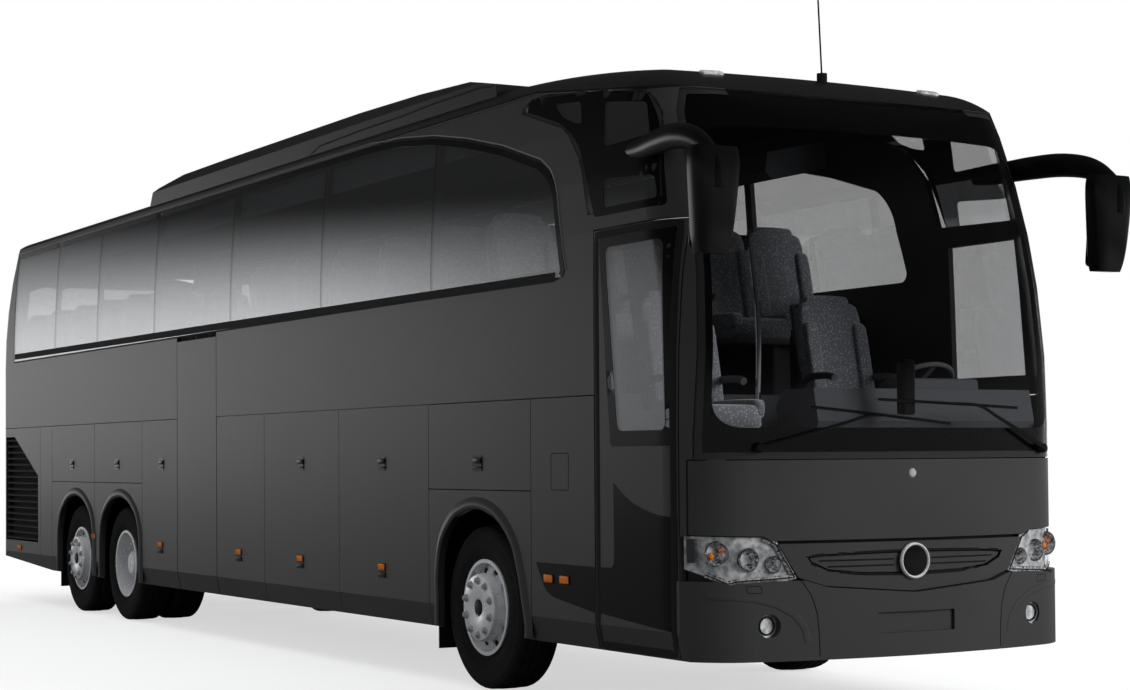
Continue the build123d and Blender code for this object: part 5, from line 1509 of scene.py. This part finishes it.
class COACH_OT_cabin(bpy.types.Operator):
    """Sensor housing behind the windscreen and the grab rail at the front steps"""

    bl_idname = "coach.cabin"
    bl_label = "Cabin details"

    def execute(self, context):
        screen = skin_of("windscreen")
        place, _ = on_skin(screen, "front", 0.02, SENSOR_LEVEL, -0.055)
        box = block((0.075, 0.085, 0.30), 0.018, place.x - 0.01, place.y, SENSOR_LEVEL)
        put("sensor_housing", box, "gloss_black")
        rail = smooth_path([(at(u), y, z) for u, y, z in GRAB_RAIL], 5)
        put("grab_rail_front", swept(rail, 0.016, 12), "chrome", smooth=60)
        return {"FINISHED"}


# ---- Roof and rear


# The seam that rises over the middle windows to the pod's front end
CREST = [(-3.046, 3.631), (-2.90, 3.695), (-2.744, 3.730), (-1.989, 3.746), (-1.356, 3.750),
         (-0.797, 3.764), (-0.162, 3.767), (0.016, 3.752)]


POD_SEAMS = (-5.2, -3.8, -2.4)
ROOF_HATCHES = (-8.6, 0.75)
HATCH_SIZE = 0.66


class COACH_OT_roof(bpy.types.Operator):
    """Pod seams, crest seams, front marker lamps and roof hatches"""

    bl_idname = "coach.roof"
    bl_label = "Roof"

    def execute(self, context):
        roof = skin_of("roof_shell")
        pod = skin_of("roof_pod")
        for index, station in enumerate(POD_SEAMS):
            put(f"pod_seam_{index}", skin_strip(pod, "top", [(station, -0.95), (station, 0.95)],
                                                0.008, 0.0006, 0.003), "rubber")
        for side, sign in SIDES.items():
            walls = skin_of("roof_shell", "roof_pod", f"side_wall_{side}")
            put(f"crest_seam_{side}",
                skin_strip(walls, side, CREST, 0.012, 0.0006, 0.003, False, 0.05), "rubber")
            lamp = block((0.14, 0.026, 0.05), 0.010, 0, 0.004, 0)
            put(f"roof_marker_{side}", seated(lamp, roof, "top", 1.905, sign * 0.76), "bezel")
        for index, station in enumerate(ROOF_HATCHES):
            outline = round_corners(rectangle(station, 0, HATCH_SIZE, HATCH_SIZE), 0.06)
            put(f"roof_hatch_{index}",
                skin_patch(roof, "top", outline, 0.022, 0.024), "roof", smooth=30)
        return {"FINISHED"}


# Tail lamps: sideways place, height of the upper one and how far apart, and their finishes
TAIL_LAMP_Y, TAIL_LAMP_TOP, TAIL_LAMP_PITCH = 1.052, 1.52, 0.20
TAIL_LAMPS = ("red", "amber", "red", "lens")
HATCH_LATCH_LEVEL = 0.78
# Louvres of the engine hatch: how many, height of the lowest and how far apart
SLATS, SLAT_FOOT, SLAT_PITCH = 9, 1.30, 0.055


class COACH_OT_rear(bpy.types.Operator):
    """Round tail lamps, reflectors, tail header, hatch latches and louvres"""

    bl_idname = "coach.rear"
    bl_label = "Rear"

    def execute(self, context):
        lamps = skin_of("tail_lamps")
        panel = skin_of("rear_panel")
        hatch = skin_of("engine_hatch")
        dome = lathe([(0.0, 0.016), (0.03, 0.014), (0.048, 0.008), (0.056, 0.0)], 32)
        ring = lathe([(0.055, 0.001), (0.058, 0.007), (0.064, 0.004), (0.065, 0.0)], 32)
        for side, sign in SIDES.items():
            for index, finish in enumerate(TAIL_LAMPS):
                spot = (lamps, "rear", sign * TAIL_LAMP_Y, TAIL_LAMP_TOP - TAIL_LAMP_PITCH * index)
                put(f"tail_lens_{side}_{index}", seated(dome, *spot), finish, smooth=60)
                put(f"tail_ring_{side}_{index}", seated(ring, *spot), "chrome", smooth=60)
            reflector = block((0.12, 0.010, 0.05), 0.004, 0, 0.003, 0)
            put(f"tail_reflector_{side}",
                seated(reflector, panel, "rear", sign * 1.0, 0.56), "red")
        # The tail's header panel, between the rear window's frame and the roof
        rows = [3.425 + 0.02 * i for i in range(10)]
        columns = [-0.92 + 0.08 * i for i in range(24)]
        verts = [(TAIL + TAIL_RADIUS - math.sqrt(TAIL_RADIUS ** 2 - (z - SIDE_FOOT) ** 2)
                  + y ** 2 / (2 * TAIL_PLAN_RADIUS) + deep, y, z)
                 for deep in (0.004, 0.012) for z in rows for y in columns]
        outer = grid_faces(len(rows), len(columns))
        inner = [tuple(len(verts) // 2 + i for i in reversed(face)) for face in outer]
        put("tail_header", (verts, outer + inner), "paint", smooth=60)
        plate, paddle = latch_part(0.16, 0.09)
        for index, y in enumerate((-0.56, 0.56)):
            spot = (hatch, "rear", y, HATCH_LATCH_LEVEL)
            put(f"hatch_latch_plate_{index}", seated(plate, *spot), "abs", "engine_hatch")
            put(f"hatch_latch_paddle_{index}", seated(paddle, *spot), "gloss_black",
                "engine_hatch")
        slats = []
        for index in range(SLATS):
            z = SLAT_FOOT + SLAT_PITCH * index
            for side in (-1, 1):
                slats.append(skin_strip(hatch, "rear", [(side * 0.44, z), (side * 0.72, z)],
                                        0.026, 0.0003, 0.002, False, 0.1, 0.009))
        put("hatch_louvres", merged(slats), "abs", "engine_hatch", smooth=50)
        return {"FINISHED"}


# ---- Stage


def smooth_range(tree, socket, low, high, to_low=0.0, to_high=1.0):
    """A value that goes smoothly from to_low to to_high while the socket's goes low to high."""
    return add_node(tree, "ShaderNodeMapRange",
                    {"From Min": low, "From Max": high, "To Min": to_low, "To Max": to_high,
                     "interpolation_type": "SMOOTHSTEP"}, {"Value": socket}).outputs["Result"]


def seen_straight(tree, paths):
    """1 where the camera sees a thing directly or through glass."""
    return add_node(tree, "ShaderNodeMath", {"operation": "MAXIMUM"},
                    {0: paths.outputs["Is Camera Ray"],
                     1: paths.outputs["Is Transmission Ray"]}).outputs["Value"]


def blend(tree, factor, first, second):
    """The first shader where the factor is 0 and the second where it is 1."""
    return add_node(tree, "ShaderNodeMixShader", {},
                    {"Fac": factor, 1: first, 2: second}).outputs["Shader"]


# Lamps: name, place, what it aims at, width and length, watts
LAMPS = [
    ("overhead", (1.0, -2.0, 11.0), (0.0, 0.0, 0.0), (16.0, 8.0), 900.0),
    ("front_fill", (17.0, 7.0, 5.0), (6.0, 0.3, 1.2), (6.0, 4.0), 3000.0),
    ("rear_fill", (-19.0, 5.0, 6.0), (-6.0, 0.0, 1.5), (6.0, 4.0), 1500.0),
    ("left_fill", (0.0, 17.0, 6.0), (0.0, 0.0, 1.5), (14.0, 4.0), 900.0),
    ("side_fill", (2.0, -16.0, 6.0), (0.0, 0.0, 1.5), (14.0, 4.0), 330.0),
]
FLOOR_SIZE = 180.0


class COACH_OT_stage(bpy.types.Operator):
    """Pale floor, soft studio lamps, bright surround and the camera"""

    bl_idname = "coach.stage"
    bl_label = "Stage"

    def execute(self, context):
        self.add_floor(context)
        self.add_surround(context)
        self.add_lamps(context)
        self.add_camera(context)
        context.scene.view_settings.view_transform = "Standard"
        return {"FINISHED"}

    def add_floor(self, context):
        floor = bpy.data.meshes.new("floor")
        corners = [(x, y, 0) for x, y in rectangle(0, 0, FLOOR_SIZE, FLOOR_SIZE)]
        floor.from_pydata(corners, [], [(0, 1, 2, 3)])
        material, tree, shader = new_finish("painted_floor", "F4F4F4", 0.9)
        paths = add_node(tree, "ShaderNodeLightPath")
        white = add_node(tree, "ShaderNodeEmission", {"Color": (1, 1, 1, 1), "Strength": 1.0})
        # The floor fades into the white surround past the coach's own shadow
        place = add_node(tree, "ShaderNodeTexCoord")
        drawn = add_node(tree, "ShaderNodeMapping", {"Scale": (0.5, 1.0, 1.0)},
                         {"Vector": place.outputs["Object"]})
        reach = add_node(tree, "ShaderNodeVectorMath", {"operation": "LENGTH"},
                         {0: drawn.outputs["Vector"]})
        pale = blend(tree, smooth_range(tree, reach.outputs["Value"], 3.0, 6.5, 0.62, 1.0),
                     shader.outputs["BSDF"], white.outputs["Emission"])
        # What the coach mirrors and is lit by is a darker floor
        dim = add_node(tree, "ShaderNodeBsdfDiffuse", {"Color": linear("5C5C5C")})
        both = blend(tree, seen_straight(tree, paths), dim.outputs["BSDF"], pale)
        tree.links.new(both, tree.nodes["Material Output"].inputs["Surface"])
        floor.materials.append(material)
        ground = bpy.data.objects.new("floor", floor)
        context.scene.collection.objects.link(ground)

    def add_surround(self, context):
        world = bpy.data.worlds.new("studio")
        context.scene.world = world
        world.use_nodes = True
        tree = world.node_tree
        tree.nodes.clear()
        paths = add_node(tree, "ShaderNodeLightPath")
        place = add_node(tree, "ShaderNodeTexCoord")
        split = add_node(tree, "ShaderNodeSeparateXYZ", {}, {"Vector": place.outputs["Generated"]})
        # What gloss mirrors: a pale band at the horizon, brightest behind the coach on the
        # door side, under a dark ceiling
        rise = smooth_range(tree, split.outputs["Z"], 0.045, 0.175, 1.0, 0.0)
        level = smooth_range(tree, split.outputs["Y"], -0.53, -0.345, 0.24, 1.45)
        astern = smooth_range(tree, split.outputs["X"], -0.2, -0.8)
        broad = add_node(tree, "ShaderNodeMix", {"data_type": "FLOAT", 2: 0.34},
                         {0: astern, 3: level})
        glow = add_node(tree, "ShaderNodeMath", {"operation": "MULTIPLY"},
                        {0: broad.outputs[0], 1: rise})
        total = add_node(tree, "ShaderNodeMath", {"operation": "ADD", 1: 0.035},
                         {0: glow.outputs["Value"]})
        glossy = add_node(tree, "ShaderNodeBackground", {"Color": (1.0, 1.0, 1.0, 1)},
                          {"Strength": total.outputs["Value"]})
        ambient = add_node(tree, "ShaderNodeBackground",
                           {"Color": (0.95, 0.97, 1.0, 1), "Strength": 0.55})
        white = add_node(tree, "ShaderNodeBackground", {"Color": (1, 1, 1, 1), "Strength": 1.0})
        shine = blend(tree, paths.outputs["Is Glossy Ray"], ambient.outputs["Background"],
                      glossy.outputs["Background"])
        both = blend(tree, seen_straight(tree, paths), shine, white.outputs["Background"])
        add_node(tree, "ShaderNodeOutputWorld", {}, {"Surface": both})

    def add_lamps(self, context):
        for name, place, target, size, power in LAMPS:
            light = bpy.data.lights.new(name, "AREA")
            light.shape = "RECTANGLE"
            light.size, light.size_y = size
            light.energy = power
            lamp = bpy.data.objects.new(name, light)
            lamp.location = place
            lamp.rotation_mode = "QUATERNION"
            aim = Vector(target) - Vector(place)
            lamp.rotation_quaternion = aim.to_track_quat("-Z", "Y")
            lamp.visible_glossy = False
            context.scene.collection.objects.link(lamp)

    def add_camera(self, context):
        look = context.scene.coach_stage
        data = bpy.data.cameras.new("camera")
        data.sensor_width = 36.0
        data.lens = look.lens
        data.shift_y = 0.0533
        data.clip_end = 400.0
        camera = bpy.data.objects.new("camera", data)
        along = Vector((-math.cos(look.yaw), math.sin(look.yaw), 0))
        right = along.cross(Vector((0, 0, 1))).normalized()
        along = along * math.cos(look.pitch) + Vector((0, 0, 1)) * math.sin(look.pitch)
        up = right.cross(along)
        turned = right * math.cos(look.roll) + up * math.sin(look.roll)
        up = up * math.cos(look.roll) - right * math.sin(look.roll)
        basis = Matrix((turned, up, -along)).transposed().to_4x4()
        place = Vector(look.camera_place) + Vector((AXLE_X, 0, 0))
        camera.matrix_world = Matrix.Translation(place) @ basis
        context.scene.collection.objects.link(camera)
        context.scene.camera = camera


class COACH_PT_panel(bpy.types.Panel):
    """Lists the coach's pieces and their sizes"""

    bl_idname = "COACH_PT_panel"
    bl_label = "Touring coach"
    bl_space_type = "VIEW_3D"
    bl_region_type = "UI"
    bl_category = "Coach"

    def draw(self, context):
        layout = self.layout
        for name in GROUPS:
            group = getattr(context.scene, name)
            box = layout.box()
            for key in group.bl_rna.properties.keys():
                if key not in {"rna_type", "name"}:
                    box.prop(group, key)
        for operator in STEPS:
            layout.operator(operator.bl_idname)


GROUPS = {
    "coach_paint": CoachPaint, "coach_wheels": CoachWheels, "coach_trim": CoachTrim,
    "coach_seats": CoachSeats, "coach_stage": CoachStage,
}
STEPS = (
    COACH_OT_stage, COACH_OT_finishes, COACH_OT_faired_panes, COACH_OT_tyres,
    COACH_OT_wheel_nuts, COACH_OT_latches, COACH_OT_side_trim, COACH_OT_glass_prints,
    COACH_OT_front, COACH_OT_wipers, COACH_OT_mirrors, COACH_OT_seats, COACH_OT_cabin,
    COACH_OT_roof, COACH_OT_rear,
)


def register():
    for name, group in GROUPS.items():
        bpy.utils.register_class(group)
        setattr(bpy.types.Scene, name, PointerProperty(type=group))
    for operator in STEPS:
        bpy.utils.register_class(operator)
    bpy.utils.register_class(COACH_PT_panel)


def unregister():
    bpy.utils.unregister_class(COACH_PT_panel)
    for operator in reversed(STEPS):
        bpy.utils.unregister_class(operator)
    for name, group in GROUPS.items():
        delattr(bpy.types.Scene, name)
        bpy.utils.unregister_class(group)


def main():
    """Build every piece."""
    register()
    for operator in STEPS:
        group, name = operator.bl_idname.split(".")
        getattr(getattr(bpy.ops, group), name)()


if __name__ == "__main__":
    main()
